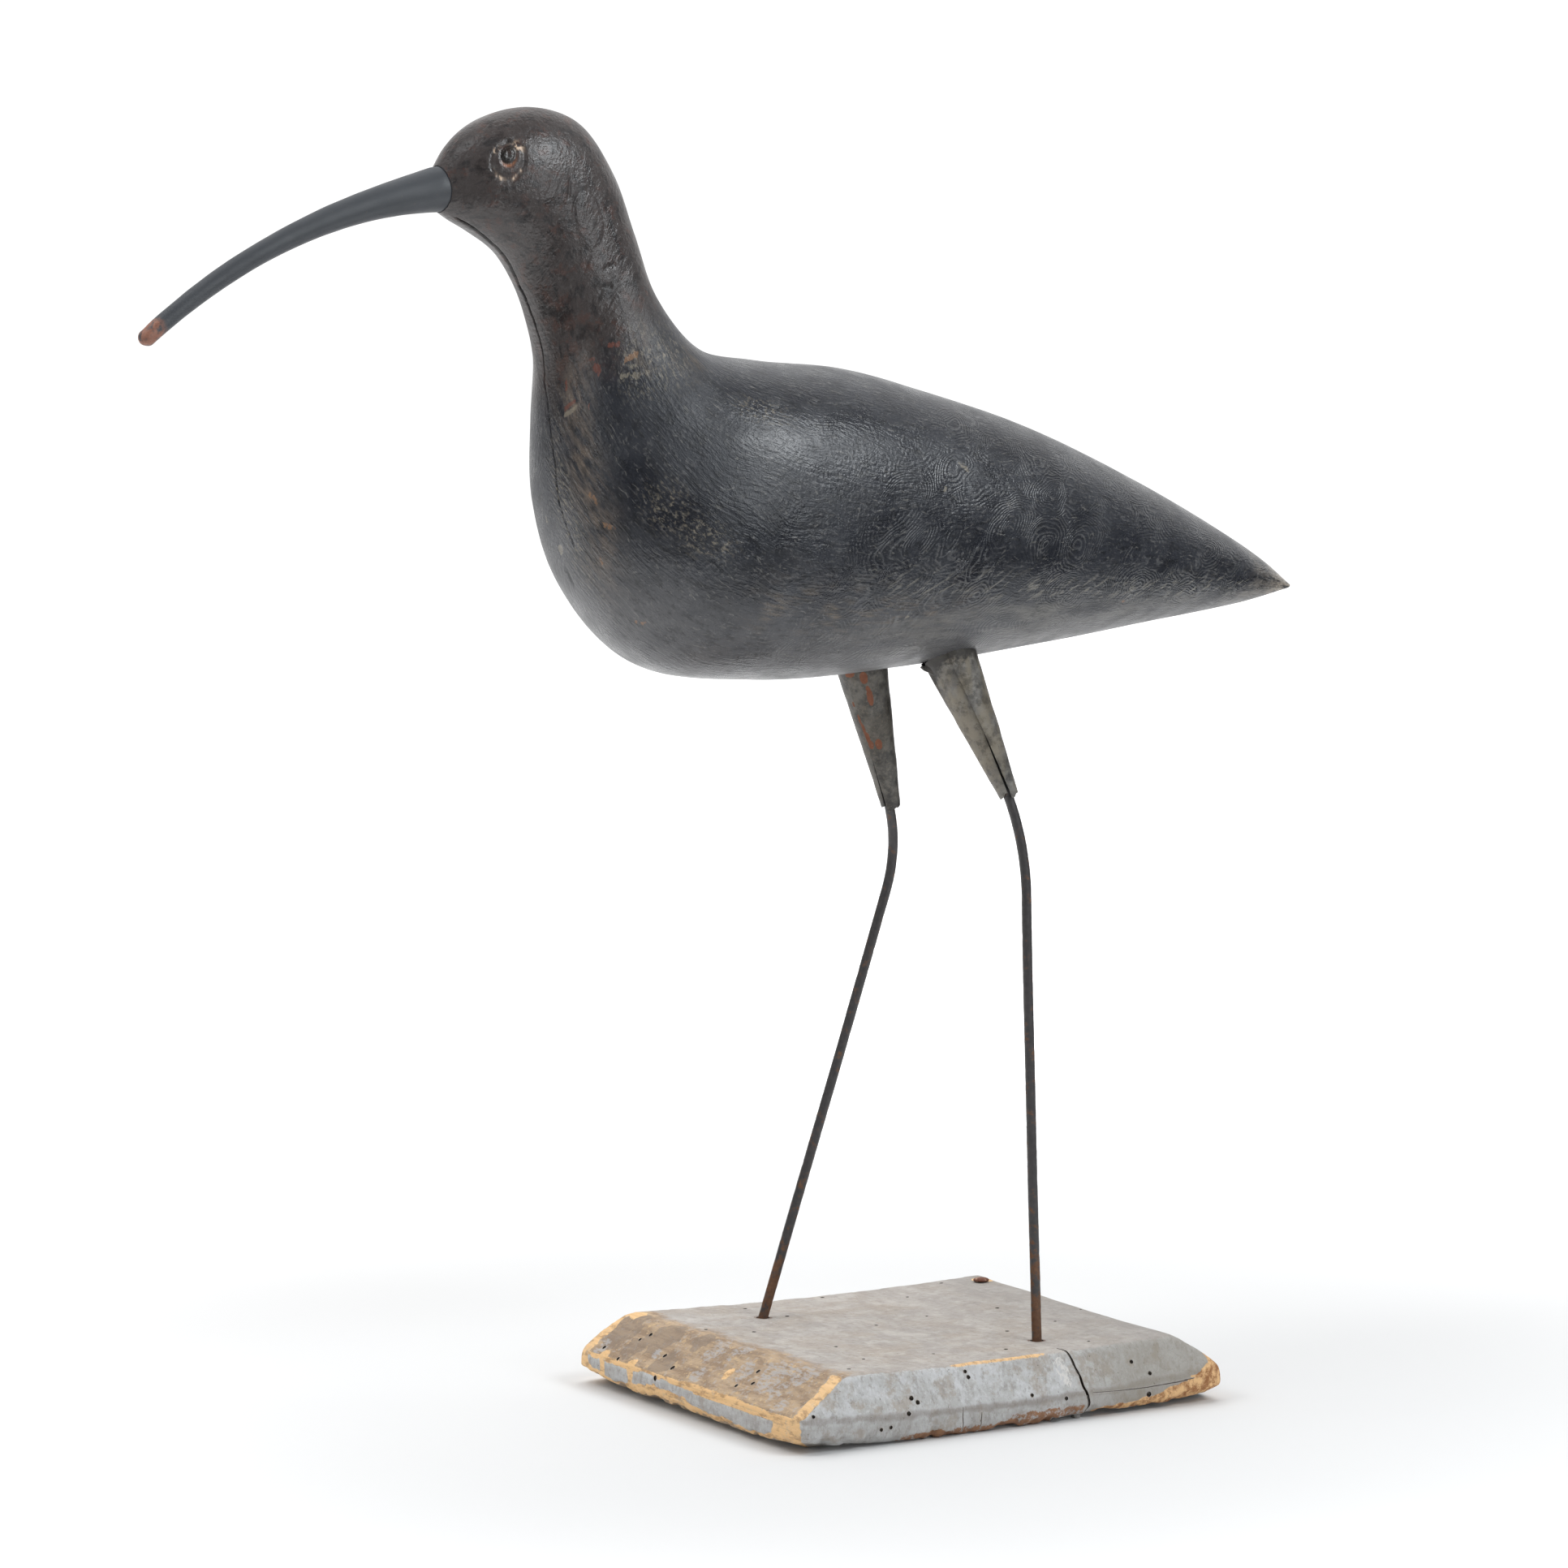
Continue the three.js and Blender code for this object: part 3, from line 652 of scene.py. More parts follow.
def bill(material):
    rings, shares = bill_rings(150, 56)
    points = rings.reshape(-1, 3)
    share = np.repeat(shares, rings.shape[1])
    shape = 0.16 * wobble(points, 24, 11) + 0.07 * wobble(points, 7, 12)
    shape *= smooth(share, 0.0, 0.06)
    # Worn flats near the tip
    shape -= 0.35 * smooth(wobble(points, 6, 13), 0.0, 0.5) * smooth(share, 0.93, 0.99)
    points, faces = roughened(rings, rings.mean(1, keepdims=True), shape)
    ragged = 0.02 * wobble(points, 7, 14) + 0.01 * wobble(points, 2.5, 15)
    worn = smooth(np.append(share, [0, 1]) + ragged, 0.93, 0.97)
    finish_piece(make_object("bill_skin", points, faces, {"worn": worn}), "bill", material)


def bill_cutter():
    return make_object("bill_cutter", *capped_loft(bill_rings(60, 48, SEAT_GAP)[0]))


# The legs

def belly_tree():
    """The plain skin as a tree that rays can be cast on."""
    along, angle = np.meshgrid(np.linspace(0, 1, 160), np.arange(120) / 120 * TURN, indexing="ij")
    points, faces = capped_loft(bird_skin(along, angle))
    return BVHTree.FromPolygons([Vector(point) for point in points], faces)


BELLY = belly_tree()


def sag_at(x):
    """How much of its full sag the cupped board has at x: none at its ends, all of it in the middle."""
    return 1 - (2 * x / BOARD_LENGTH) ** 2


def board_top_at(x):
    return BOARD_THICKNESS - TOP_SAG * sag_at(x)


def leg_points(leg):
    """Hip on the belly, cuff at the cone's lower end, knee, and foot on the board."""
    side = leg["side"]
    below_hip = Vector((leg["hip_x"], MEDIAN_Y + side * HIP_SPREAD, 0))
    hip = np.array(BELLY.ray_cast(below_hip, Vector((0, 0, 1)))[0])
    cuff = np.array([hip[0] + leg["thigh_back"], MEDIAN_Y + side * CUFF_SPREAD, hip[2] - leg["thigh_drop"]])
    knee = np.array([cuff[0] + leg["knee_back"], MEDIAN_Y + side * KNEE_SPREAD, cuff[2] - leg["knee_drop"]])
    foot = np.array([leg["foot_x"], MEDIAN_Y + side * FOOT_SPREAD, board_top_at(leg["foot_x"])])
    return hip, cuff, knee, foot


def rod_path(leg, longer=0.0, steps=260):
    """Points along a rod's middle, from inside the bird to inside the board."""
    hip, cuff, knee, foot = leg_points(leg)
    shin = unit(foot - knee)
    top = hip - unit(cuff - hip) * (ROD_DEPTH_IN_BIRD + longer)
    bottom = foot + shin * (ROD_DEPTH_IN_BOARD + longer)
    bend_start = knee - unit(knee - top) * leg["knee_bend"]
    bend_end = knee + shin * leg["knee_bend"]
    shares = np.linspace(0, 1, 40)
    bend = bent_line(bend_start, knee, bend_end, shares)
    upper = top + (bend_start - top) * shares[:, None]
    lower = bend_end + (bottom - bend_end) * shares[:, None]
    line = np.vstack([upper, bend[1:], lower[1:]])
    lengths = lengths_along(line)
    places = np.linspace(0, lengths[-1], steps)
    return np.stack([np.interp(places, lengths, line[:, axis]) for axis in range(3)], axis=1)


def rod(name, material, seed):
    path = rod_path(LEGS[name])
    free = smooth(path[:, 2], 35, 90) * smooth(path[:, 2], 345, 300)
    for axis in (0, 1):
        path[:, axis] += 0.5 * free * wobble(path, 90, seed + axis)
    rings = tube_rings(path, ROD_DIAMETER / 2, 24)
    points = rings.reshape(-1, 3)
    rough = 0.06 * wobble(points, 4, seed + 2) + 0.05 * wobble(points, 1.6, seed + 3)
    pits = 0.12 * smooth(wobble(points, 3, seed + 4), 0.3, 0.6)
    skin = roughened(rings, path[:, None], np.clip(rough - pits, -0.3, 0.12))
    finish_piece(make_object(name + "_leg_rod", *skin), name + "_leg", material)


def rod_cutter(leg, grown):
    rings = tube_rings(rod_path(leg, grown, 60), ROD_DIAMETER / 2 + grown, 24)
    return make_object("rod_cutter", *capped_loft(rings))


# The thigh cones. Angles are 0 towards the camera and grow to the left of the picture. seam is the angle
# of the joint, half_gaps half its opening from the top down, and crumple the angle of the worst dent.
# rust holds patches as height above the lower end, angle, half height and half width.
THIGHS = {
    "left": {
        "seam": -0.12, "half_gaps": [-0.12, -0.07, 0.0, 0.14], "crumple": 1.25, "seed": 91,
        "rust": [],
    },
    "right": {
        "seam": 0.58, "half_gaps": [-0.12, -0.08, 0.03, 0.09], "crumple": 2.6, "seed": 96,
        "rust": [
            (77.8, 0.53, 1.6, 3), (75, 0.0, 3.4, 1.9), (69, -0.06, 1.5, 1.0), (64, -0.1, 5.0, 1.5),
            (52, 0.66, 3.2, 1.0), (47, 0.57, 3.4, 1.1), (42, 0.47, 3.4, 1.1), (37.8, 0.38, 2.4, 1.3),
            (37.5, -0.05, 3.0, 1.6), (60, 0.8, 1.5, 0.8),
        ],
    },
}
GAP_SHARES = [0, 0.35, 0.55, 1]
TOWARDS_VIEWER = unit(np.array([-0.53, -0.85, 0.0]))


def belly_reach(starts, lines, longest):
    """How far it is from each start along its line to the belly."""
    hits = [BELLY.ray_cast(Vector(start), Vector(line)) for start, line in zip(starts, lines)]
    return np.array([longest if hit[0] is None else hit[3] for hit in hits])


def thigh(name, material):
    """A cone rolled from sheet metal, crumpled where it meets the belly."""
    shape = THIGHS[name]
    seed = shape["seed"]
    hip, cuff = leg_points(LEGS[name])[:2]
    upward = unit(hip - cuff)
    length = np.linalg.norm(hip - cuff)
    ahead = unit(TOWARDS_VIEWER - (TOWARDS_VIEWER * upward).sum() * upward)
    leftward = np.cross(ahead, upward)
    cuff_radius = ROD_DIAMETER / 2 + CUFF_CLEARANCE + SHEET_THICKNESS / 2
    top_radius = THIGH_TOP_DIAMETER / 2 - SHEET_THICKNESS / 2
    column = np.linspace(0, 1, THIGH_COLUMNS)
    rows, columns = np.meshgrid(np.linspace(0, 1, THIGH_ROWS), column, indexing="ij")
    # The edges overlap at the top and may part to a slit at the bottom
    half_gap = np.interp(rows, GAP_SHARES, shape["half_gaps"])
    angle = shape["seam"] + half_gap + (TURN - 2 * half_gap) * columns
    around = np.cos(angle)[..., None] * ahead + np.sin(angle)[..., None] * leftward
    slope = (top_radius - cuff_radius) / length
    lower_rim = around[0] * cuff_radius
    upper_rim = around[0] * top_radius
    reach = belly_reach(cuff + lower_rim, unit(upward + slope * around[0]), length)
    dent = bell(turned(angle[0], shape["crumple"]), 0.3)
    top = reach + 0.25 * wobble(upper_rim, 3, seed) - 0.2
    top -= dent * (2.6 + 2.4 * wobble(upper_rim, 1.8, seed + 1))
    bottom = 0.5 * wobble(lower_rim, 1.5, seed + 2) + 2.2 * bell(column, 0.1) - 1.2 * bell(1 - column, 0.08)
    height = top * (1 - rows) + bottom * rows
    spiral = 0.95 * (columns - 0.5) * smooth(rows, 1.05, 0.55)
    radius = cuff_radius + slope * height + spiral - 1.6 * dent * bell(rows - 0.09, 0.05)
    radius += 3.0 * dent * bell(rows, 0.035) * (0.6 + 1.2 * wobble(upper_rim, 1.4, seed + 5))
    places = cuff + upward * height[..., None] + around * radius[..., None]
    flat = places.reshape(-1, 3)
    dents = 0.28 * wobble(flat, 9, seed + 3) + 0.1 * wobble(flat, 3.5, seed + 4)
    places = places + around * dents.reshape(rows.shape)[..., None]
    rust = np.zeros(rows.shape)
    for level, turn, half_height, half_width in shape["rust"]:
        away = np.hypot(turned(angle, turn) * radius / half_width, (height - level) / half_height)
        rust = np.maximum(rust, smooth(away, 1.35, 0.65))
    # Grime, and painted shade where the cone meets the belly and in its dent.
    grime_and_shade = bell(rows, 0.1) * 0.75 + bell(turned(angle, shape["crumple"]), 0.5) * bell(rows, 0.2)
    sheet = sheet_object(name + "_thigh_sheet", places, SHEET_THICKNESS, {"rust": rust, "grime_and_shade": grime_and_shade})
    finish_piece(sheet, name + "_thigh", material)


def sheet_object(name, places, thickness, masks):
    """A sheet of even thickness over an open grid of points, with its rim closed."""
    rows, columns = places.shape[:2]
    normals = unit(np.cross(np.gradient(places, axis=0), np.gradient(places, axis=1)))
    points = np.concatenate([
        places + normals * thickness / 2, places - normals * thickness / 2]).reshape(-1, 3)
    count = rows * columns
    quads = grid_faces(rows, columns, closed=False)
    rim = list(range(columns))
    rim += [row * columns + columns - 1 for row in range(1, rows)]
    rim += [(rows - 1) * columns + column for column in range(columns - 2, -1, -1)]
    rim += [row * columns for row in range(rows - 2, 0, -1)]
    faces = quads.tolist() + (quads[:, ::-1] + count).tolist()
    faces += [[there, here, here + count, there + count] for here, there in zip(rim, rim[1:] + rim[:1])]
    attributes = {key: np.tile(values.ravel(), 2) for key, values in masks.items()}
    thing = make_object(name, points, facing_out(points, faces), attributes)
    thing.data.set_sharp_from_angle(angle=math.radians(50))
    return thing


# The board. Worm holes on the front and left are x, y, z and diameter, those on the top x and y.
FRONT_HOLES = [
    (-57.7, -99.7, 20.4, 2.4), (-54.7, -100.6, 18.3, 2.2), (-61.0, -102.7, 14.0, 2.3),
    (-76.5, -103.0, 8.2, 1.8), (-71.1, -103.0, 8.7, 1.8), (-24.0, -96.7, 26.2, 2.0),
    (-25.0, -95.5, 28.8, 1.8), (68.6, -98.2, 23.9, 2.0), (77.4, -101.2, 17.9, 2.0),
    (27.7, -103.0, 11.5, 2.0), (75.7, -103.0, 8.2, 2.6), (9.0, -101.7, 14.9, 1.8),
    (-113.0, -102.4, 18.3, 1.8),
]
LEFT_HOLES = [
    (-105.3, 59.6, 28.9, 2.2), (-117.8, 81.9, 20.1, 2.0), (-120.7, 63.6, 17.9, 2.0),
    (-112.3, 33.8, 23.7, 2.2), (-116.5, 19.2, 20.7, 2.4), (-122.0, 26.0, 15.0, 2.6),
    (-104.9, -38.8, 27.9, 2.2), (-111.2, -44.7, 23.9, 2.0), (-114.9, -36.1, 21.6, 1.8),
    (-109.0, 63.3, 26.3, 1.8),
]
TOP_HOLES = [
    (102.8, -62.9), (94.5, -19.1), (73.4, -13.9), (63.7, 8.6), (36.9, -39.5), (24.7, 12.5),
    (-8.3, 6.9), (-54.5, -29.1), (-80.1, -80.7), (-33.7, 48.1), (68.5, -34.4), (43.6, 58.9),
    (76.2, 77.4), (96.6, -30.7), (100.0, -58.1), (-23.5, -66.3), (-36.7, 62.1), (-40.5, 76.5),
    (12.0, -75.0), (-70.0, 20.0), (55.0, -82.0), (-60.0, -62.0), (-88.0, 35.0), (8.0, 82.0),
]
TOP_HOLE_DIAMETER = 1.9
FRONT_CRACK = [
    (33.0, -88.0, 32.4), (34.2, -93.0, 31.6), (35.4, -95.6, 28.5), (36.4, -97.6, 24.5), (37.9, -99.6, 20.5),
    (38.4, -101.6, 16.0), (40.2, -103.0, 11.5), (40.9, -103.0, 8.0), (40.3, -103.0, 4.0),
    (40.6, -103.0, -1.5),
]
SIDE_CRACK = [
    (43.0, -102.9, 12.6), (58.0, -103.0, 11.9), (75.0, -103.0, 11.6), (92.0, -102.9, 12.4),
    (102.0, -102.6, 13.2),
]
FINE_CRACKS = [
    [(-30.5, -102.6, 13.6), (-31.2, -103.0, 9.0), (-30.6, -103.0, 5.0), (-30.9, -103.0, 1.8)],
    [(-20.4, -103.0, 10.3), (-20.9, -103.0, 6.0), (-20.3, -103.0, 1.0)],
]
# Spots on the left bevel (x, y, radius): bare wood, brown stains and blue-grey flecks
BARE_SPOTS = [(-96, 86, 6), (-110, -22, 3.5), (-121, 76, 3.5), (-121, 50, 3.5)]
STAINS = [(-106, 81, 14), (-103, 47, 13), (-112, 60, 10), (-116, 28, 9), (-99, 20, 9)]
FLECKS = [
    (-101, 4, 8), (-96, -12, 7), (-116, -3, 6), (-103, -53, 12), (-97, -70, 10), (-110, -66, 7),
    (-118, -80, 5),
    (-117, 84, 5), (-112, 40, 4), (-106, -30, 7),
]
# Profiles of (place, value): how far wear lifts the lower edges off the floor, along the front and along
# the left side, the lower and upper rims of the paint on the left side, and the rim of the bare wood on
# the right of the front
FRONT_LIFT = [
    (-120, 6), (-100, 2.6), (-74, 1), (-40, 0), (24, 0), (30, 2), (50, 1.6), (86, 2), (118, 5),
]
LEFT_LIFT = [(-100, 4.5), (-60, 2.2), (0, 2.8), (60, 3.4), (95, 6)]
LEFT_PAINT_LOW = [
    (-80, 7), (-61, 5.2), (-40, 6.8), (-12, 7.1), (5, 10.5), (35, 11), (44, 9), (65, 6.7), (92, 12),
]
LEFT_PAINT_HIGH = [(-79, 14), (-50, 13), (-25, 13.4), (2, 15), (40, 16), (50, 14.5), (76, 15.5), (90, 15)]
RIGHT_WOOD_RIM = [(42, 1), (46, 4.4), (76, 7), (96, 12), (112, 19)]


def ridge_at(x):
    return RIDGE_HEIGHT - RIDGE_SAG * sag_at(x)


def corner_inset(from_end, radius):
    share = 1 - np.minimum(from_end / radius, 1)
    return radius * (1 - np.sqrt(1 - share ** 2))


def board_half_section(x, edge):
    """Half a section across the board at x, for its front or back edge, from underside to top."""
    from_left = BOARD_LENGTH / 2 + x
    from_right = BOARD_LENGTH / 2 - x
    rounding = corner_inset(from_left, edge["left_radius"]) + corner_inset(from_right, edge["right_radius"])
    outer = BOARD_WIDTH / 2 - rounding
    bottom = max(WORN_EDGE - END_SOFTNESS - min(from_left, from_right), 0)
    ridge = ridge_at(x)
    rise = min(from_left / edge["left_run"], from_right / edge["right_run"], 1)
    top = ridge + max((board_top_at(x) - ridge) * rise, END_SOFTNESS)
    bevel = edge["bevel_left"] + (edge["bevel_right"] - edge["bevel_left"]) * from_left / BOARD_LENGTH
    insets = [(WORN_EDGE - bottom, bottom), (0, WORN_EDGE), (0, ridge), (bevel * rise, top)]
    return [[x, edge["sign"] * (outer - inset), z] for inset, z in insets]


def board_blank():
    places = -BOARD_LENGTH / 2 * np.cos(np.linspace(0, math.pi, 61))
    rings = [board_half_section(x, FRONT_EDGE) + board_half_section(x, BACK_EDGE)[::-1] for x in places]
    blank = make_object("base_board_wood", *capped_loft(np.array(rings)))
    remesh = blank.modifiers.new("remesh", "REMESH")
    remesh.mode = "VOXEL"
    remesh.voxel_size = BOARD_VOXEL * MM
    return applied(blank)


def vertex_vectors(mesh, field):
    values = np.empty(len(mesh.vertices) * 3)
    mesh.vertices.foreach_get(field, values)
    return values.reshape(-1, 3)


def place_vertices(mesh, points):
    mesh.vertices.foreach_set("co", (points * MM).ravel())
    mesh.update()


def relaxed(mesh, points, rounds):
    """The points after each has moved to the mean of its neighbours a number of times."""
    edges = np.empty(len(mesh.edges) * 2, int)
    mesh.edges.foreach_get("vertices", edges)
    a, b = edges.reshape(-1, 2).T
    count = np.bincount(np.concatenate([a, b]), minlength=len(points))[:, None]
    for _ in range(rounds):
        total = np.stack([
            np.bincount(a, points[b, axis], len(points)) + np.bincount(b, points[a, axis], len(points))
            for axis in range(3)], axis=1)
        points = total / count
    return points


def hole_cutter(place, direction, diameter, depth):
    """Points and faces of a small bar that drills a hole at a place on the surface."""
    inward = unit(np.array(direction, float))
    start = place - inward * 3
    end = place + inward * depth
    side = unit(np.cross(inward, [0.3, 0.2, 0.93]))
    ring = circle(12) @ np.array([side, np.cross(inward, side), inward]) * diameter / 2
    return capped_loft(np.array([start + ring, end + ring * 0.8, end + inward * diameter / 3 + ring * 0.3]))


def worm_holes():
    holes = [hole_cutter(hole[:3], (0.1, 1, -0.2), hole[3], 7) for hole in FRONT_HOLES]
    holes += [hole_cutter(hole[:3], (1, 0.1, -0.4), hole[3], 7) for hole in LEFT_HOLES]
    for number, (x, y) in enumerate(TOP_HOLES):
        lean = (0.25 * math.sin(number * 2.4), 0.25 * math.cos(number * 1.7), -1)
        diameter = TOP_HOLE_DIAMETER * (0.8 + 0.1 * (number % 5))
        holes.append(hole_cutter((x, y, board_top_at(x)), lean, diameter, 6))
    # The hidden back has a few as well
    for number in range(9):
        place = (-100 + 23 * number, BOARD_WIDTH / 2 - 0.5, 8 + 3 * (number % 3))
        holes.append(hole_cutter(place, (0.1, -1, -0.1), 2, 6))
    return holes


def blade(points, half_width, depth_direction, depth):
    """Points and faces of a thin wedge along a line of surface points, for cutting a crack."""
    line = np.array(points, float)
    inward = unit(np.array(depth_direction, float))
    side = unit(np.cross(unit(np.gradient(line, axis=0)), inward))
    widths = half_width * np.concatenate([[0.3], np.linspace(0.7, 1.1, len(line) - 2), [0.3]])[:, None]
    above = line - inward * 2
    below = line + inward * depth
    edge = side * widths * 0.25
    return capped_loft(np.stack([
        above - side * widths, above + side * widths, below + edge, below - edge], axis=1))


def box_shape(low, high):
    corners = [[(x, low[1], low[2]), (x, high[1], low[2]), (x, high[1], high[2]), (x, low[1], high[2])]
               for x in (low[0], high[0])]
    return capped_loft(np.array(corners, float))


def round_edges(mesh):
    """Rounds the edges unevenly and wears two corners down to knobs. Returns the points, and how sharp an
    edge each was on."""
    points = vertex_vectors(mesh, "co") / MM
    worn = relaxed(mesh, points, 6)
    sharpness = np.clip(np.linalg.norm(worn - points, axis=1) / 0.9, 0, 1)
    share = np.clip(0.6 + 0.45 * wobble(points, 30, 51) + 0.35 * wobble(points, 11, 52), 0.2, 1)
    corner = smooth(np.abs(points[:, 0]) * smooth(np.abs(points[:, 1]), 60, 100), 100, 118)
    knob = corner * (points[:, 0] * points[:, 1] < 0)
    worn = worn + (relaxed(mesh, worn, 12) - worn) * knob[:, None]
    points = points + (worn - points) * np.maximum(share, corner)[:, None]
    place_vertices(mesh, points)
    return points, sharpness


def raise_grain(mesh, points):
    """Grain along the board, saw marks on its ends, and chips along its lower edges."""
    normals = vertex_vectors(mesh, "normal")
    low = smooth(points[:, 2], 10, 2) * smooth(np.abs(normals[:, 2]), 0.97, 0.6)
    chips = 1.3 * low * smooth(wobble(points * [1, 1, 0.6], 7, 53), 0.05, 0.4)
    chips += 0.6 * low * smooth(wobble(points * [1, 1, 0.5], 2.6, 54), 0.1, 0.5)
    upper = smooth(normals[:, 2], 0.5, 0.9)
    ends = smooth(np.abs(normals[:, 1]), 0.6, 0.9)
    grain = 0.12 * wobble(points, [1.7, 60, 1.7], 55) + 0.15 * wobble(points, [6, 120, 6], 56)
    relief = (
        upper * grain + (1 - upper) * 0.1 * wobble(points, 2.5, 57) + 0.25 * wobble(points, 18, 58) - chips)
    relief -= ends * 0.15 * smooth(np.abs(wobble(points, [2.2, 30, 30], 59)), 0.12, 0.0)
    return points + normals * relief[:, None]


def wear_lower_edges(points):
    """Lifts the lower edges off the floor, most of all at the corners, and nibbles them. Returns the points
    and where broken wood shows."""
    x, y, z = points.T
    in_front = smooth(y, -84, -98)
    lift = in_front * np.interp(x, *np.transpose(FRONT_LIFT))
    lift = np.maximum(lift, smooth(x, -104, -118) * np.interp(y, *np.transpose(LEFT_LIFT)))
    flattened = points * [1, 1, 0.1]
    nibbled = smooth(wobble(flattened, 9, 54), 0.05, 0.5) + 0.5 * smooth(wobble(flattened, 3.5, 60), 0, 0.5)
    lift = lift + 1.7 * nibbled * np.maximum(in_front, smooth(x, -106, -118))
    z = np.maximum(z + lift * smooth(z, 11, 0), 0)
    chipped = in_front * smooth(z, 6.5, 2.5) * smooth(x, -74, -60) * smooth(x, 38, 26)
    by_crack = in_front * smooth(z, 10, 6) * smooth(x, -24, 6) * smooth(x, 41, 38)
    broken = np.maximum(chipped * (0.55 + 0.75 * np.clip(nibbled, 0, 1)), 0.5 * by_crack)
    return np.stack([x, y, z], axis=1), broken


def near_spots(points, spots, ragged):
    total = np.zeros(len(points))
    for x, y, radius in spots:
        away = np.hypot(points[:, 0] - x, points[:, 1] - y)
        total = np.maximum(total, smooth(away + ragged * radius * 0.5, radius, radius * 0.6))
    return total


def board_paint(points, sharpness, broken):
    """Masks for the board's colours. skin covers the whole surface, so the faces cut later, which lack it,
    are painted as shade.
    """
    x, y, z = points.T
    patch = wobble(points, 14, 61)
    fine = wobble(points, 4, 62)
    ragged = 0.7 * wobble(points, 6, 63) + 0.5 * fine
    shift = 2.6 * ragged
    # Where the left faces meet the front ones, this is 0. It is below 0 on the left.
    hip = np.where(z > RIDGE_HEIGHT, (x + 122) * 0.3 - (y + 103), (x + 122) - (y + 103))
    on_left = smooth(hip, 0.8, -0.8)
    left = smooth(x + 5 * patch + 1.5 * shift, -80, -96) * on_left
    left_side = smooth(x, -119, -120.6) * smooth(z, 18, 16.5) * on_left
    front = smooth(y, -92, -95) * (1 - on_left)
    # The paint left on the left side is a band with ragged rims
    low = np.interp(y, *np.transpose(LEFT_PAINT_LOW))
    high = np.interp(y, *np.transpose(LEFT_PAINT_HIGH))
    band = smooth(z + 0.7 * shift, low - 0.5, low + 0.5) * smooth(z + 0.5 * shift, high + 0.5, high - 0.5)
    band *= smooth(y + shift, -82, -80) * smooth(y + shift, 92, 90)
    # Bare strips down the near corner, at the front's left end and round the left corner
    strip = on_left * smooth(x, -90, -94) * smooth(hip + 1.3 * shift, -10, -4)
    strip += front * smooth(x + shift, -118, -123)
    strip += smooth(x, -92, -96) * smooth(y + shift, 88, 92)
    rim = bell(y + 93.5 + 0.5 * ragged, 2.0) * smooth(z, 30, 32)
    rim *= smooth(x + 2 * shift, -36, -28) * smooth(x + 2 * shift, 26, 18)
    ridge = left * bell(z - 16.5 + 0.5 * ragged, 1.8) * smooth(y, 6, 0) * smooth(y, -56, -48)
    bare = np.clip(np.maximum(left_side * (1 - band), strip) + rim + 0.8 * ridge, 0, 1)
    bare = np.maximum(bare, near_spots(points, BARE_SPOTS, ragged) * left)
    nail = np.hypot(x - BOARD_LENGTH / 2 + NAIL_FROM_RIGHT - 3, y - BOARD_WIDTH / 2 + NAIL_FROM_BACK - 3)
    bare = np.maximum(bare, smooth(nail + 1.5 * ragged, 6.5, 4.5))
    wood_rim = np.interp(x, *np.transpose(RIGHT_WOOD_RIM))
    right_wood = front * smooth(z + 0.6 * shift, wood_rim + 0.6, wood_rim - 0.6) * smooth(x, 42, 46)
    right_wood = np.maximum(right_wood, front * smooth(x + shift, 110, 113))
    right_wood = np.maximum(right_wood, smooth(x, 112, 117) * smooth(y, -70, -80))
    hidden = np.clip(smooth(x, 110, 116) + smooth(y, 92, 97), 0, 1)
    hidden_wear = hidden * smooth(sharpness + 0.4 * patch + 0.2 * fine, 0.5, 0.8)
    feet = [leg_points(leg)[3] for leg in LEGS.values()]
    blue = np.maximum(front * (1 - right_wood), left_side * band)
    bright_spot = np.hypot((x - 29 - 0.35 * (24 - z)) / 4, (z - 23) / 7)
    masks = {
        "bare": np.maximum(bare, hidden_wear * 0.8),
        "brown": right_wood,
        "wash": left * (1 - strip.clip(0, 1)),
        "stains": near_spots(points, STAINS, ragged) * left,
        "flecks": near_spots(points, FLECKS, 1.6 * ragged) * left,
        "blue": np.maximum(blue, 0.85 * hidden * (1 - hidden_wear)),
        "broken": broken,
        # Painted shade: faces cut by holes, cracks, bores and the worn underside lack this mask and are
        # painted near black.
        "skin": np.ones(len(points)),
        "ridge": front * bell(z - ridge_at(x) + 1.5 * ragged, 2.2),
        "rusty": np.max([smooth(np.hypot(x - foot[0], y - foot[1]), 6.5, 3.2) for foot in feet], axis=0),
        "pale": front * smooth(bright_spot + 0.4 * ragged, 1.2, 0.7),
        "edge": sharpness,
    }
    return {name: np.clip(values, 0, 1) for name, values in masks.items()}


def base_board(material, bores):
    board = board_blank()
    points, sharpness = round_edges(board.data)
    points, broken = wear_lower_edges(raise_grain(board.data, points))
    place_vertices(board.data, points)
    for name, values in board_paint(points, sharpness, broken).items():
        add_attribute(board.data, name, values)
    shapes = worm_holes()
    shapes.append(blade(FRONT_CRACK, 0.8, (0, 1, -0.2), 6))
    shapes.append(blade(SIDE_CRACK, 0.2, (0, 1, 0), 1.2))
    shapes += [blade(line, 0.3, (0, 1, 0), 1.5) for line in FINE_CRACKS]
    front = -BOARD_WIDTH / 2
    worn_under = box_shape(
        (WORN_UNDER_START, front - 5, -WORN_UNDER_DEPTH),
        (BOARD_LENGTH, front + WORN_UNDER_WIDTH, WORN_UNDER_DEPTH))
    cut(board, [joined("hole_cutters", shapes), make_object("under_cutter", *worn_under), *bores], 48)
    finish_piece(board, "base_board", material)


# Nail and peg

def nail_seat():
    """The middle of the underside of the nail's head, just clear of the board."""
    x = BOARD_LENGTH / 2 - NAIL_FROM_RIGHT
    slope = 8 * TOP_SAG * x / BOARD_LENGTH ** 2
    height = board_top_at(x) + SEAT_GAP + slope * NAIL_HEAD_DIAMETER / 2
    return np.array([x, BOARD_WIDTH / 2 - NAIL_FROM_BACK, height])


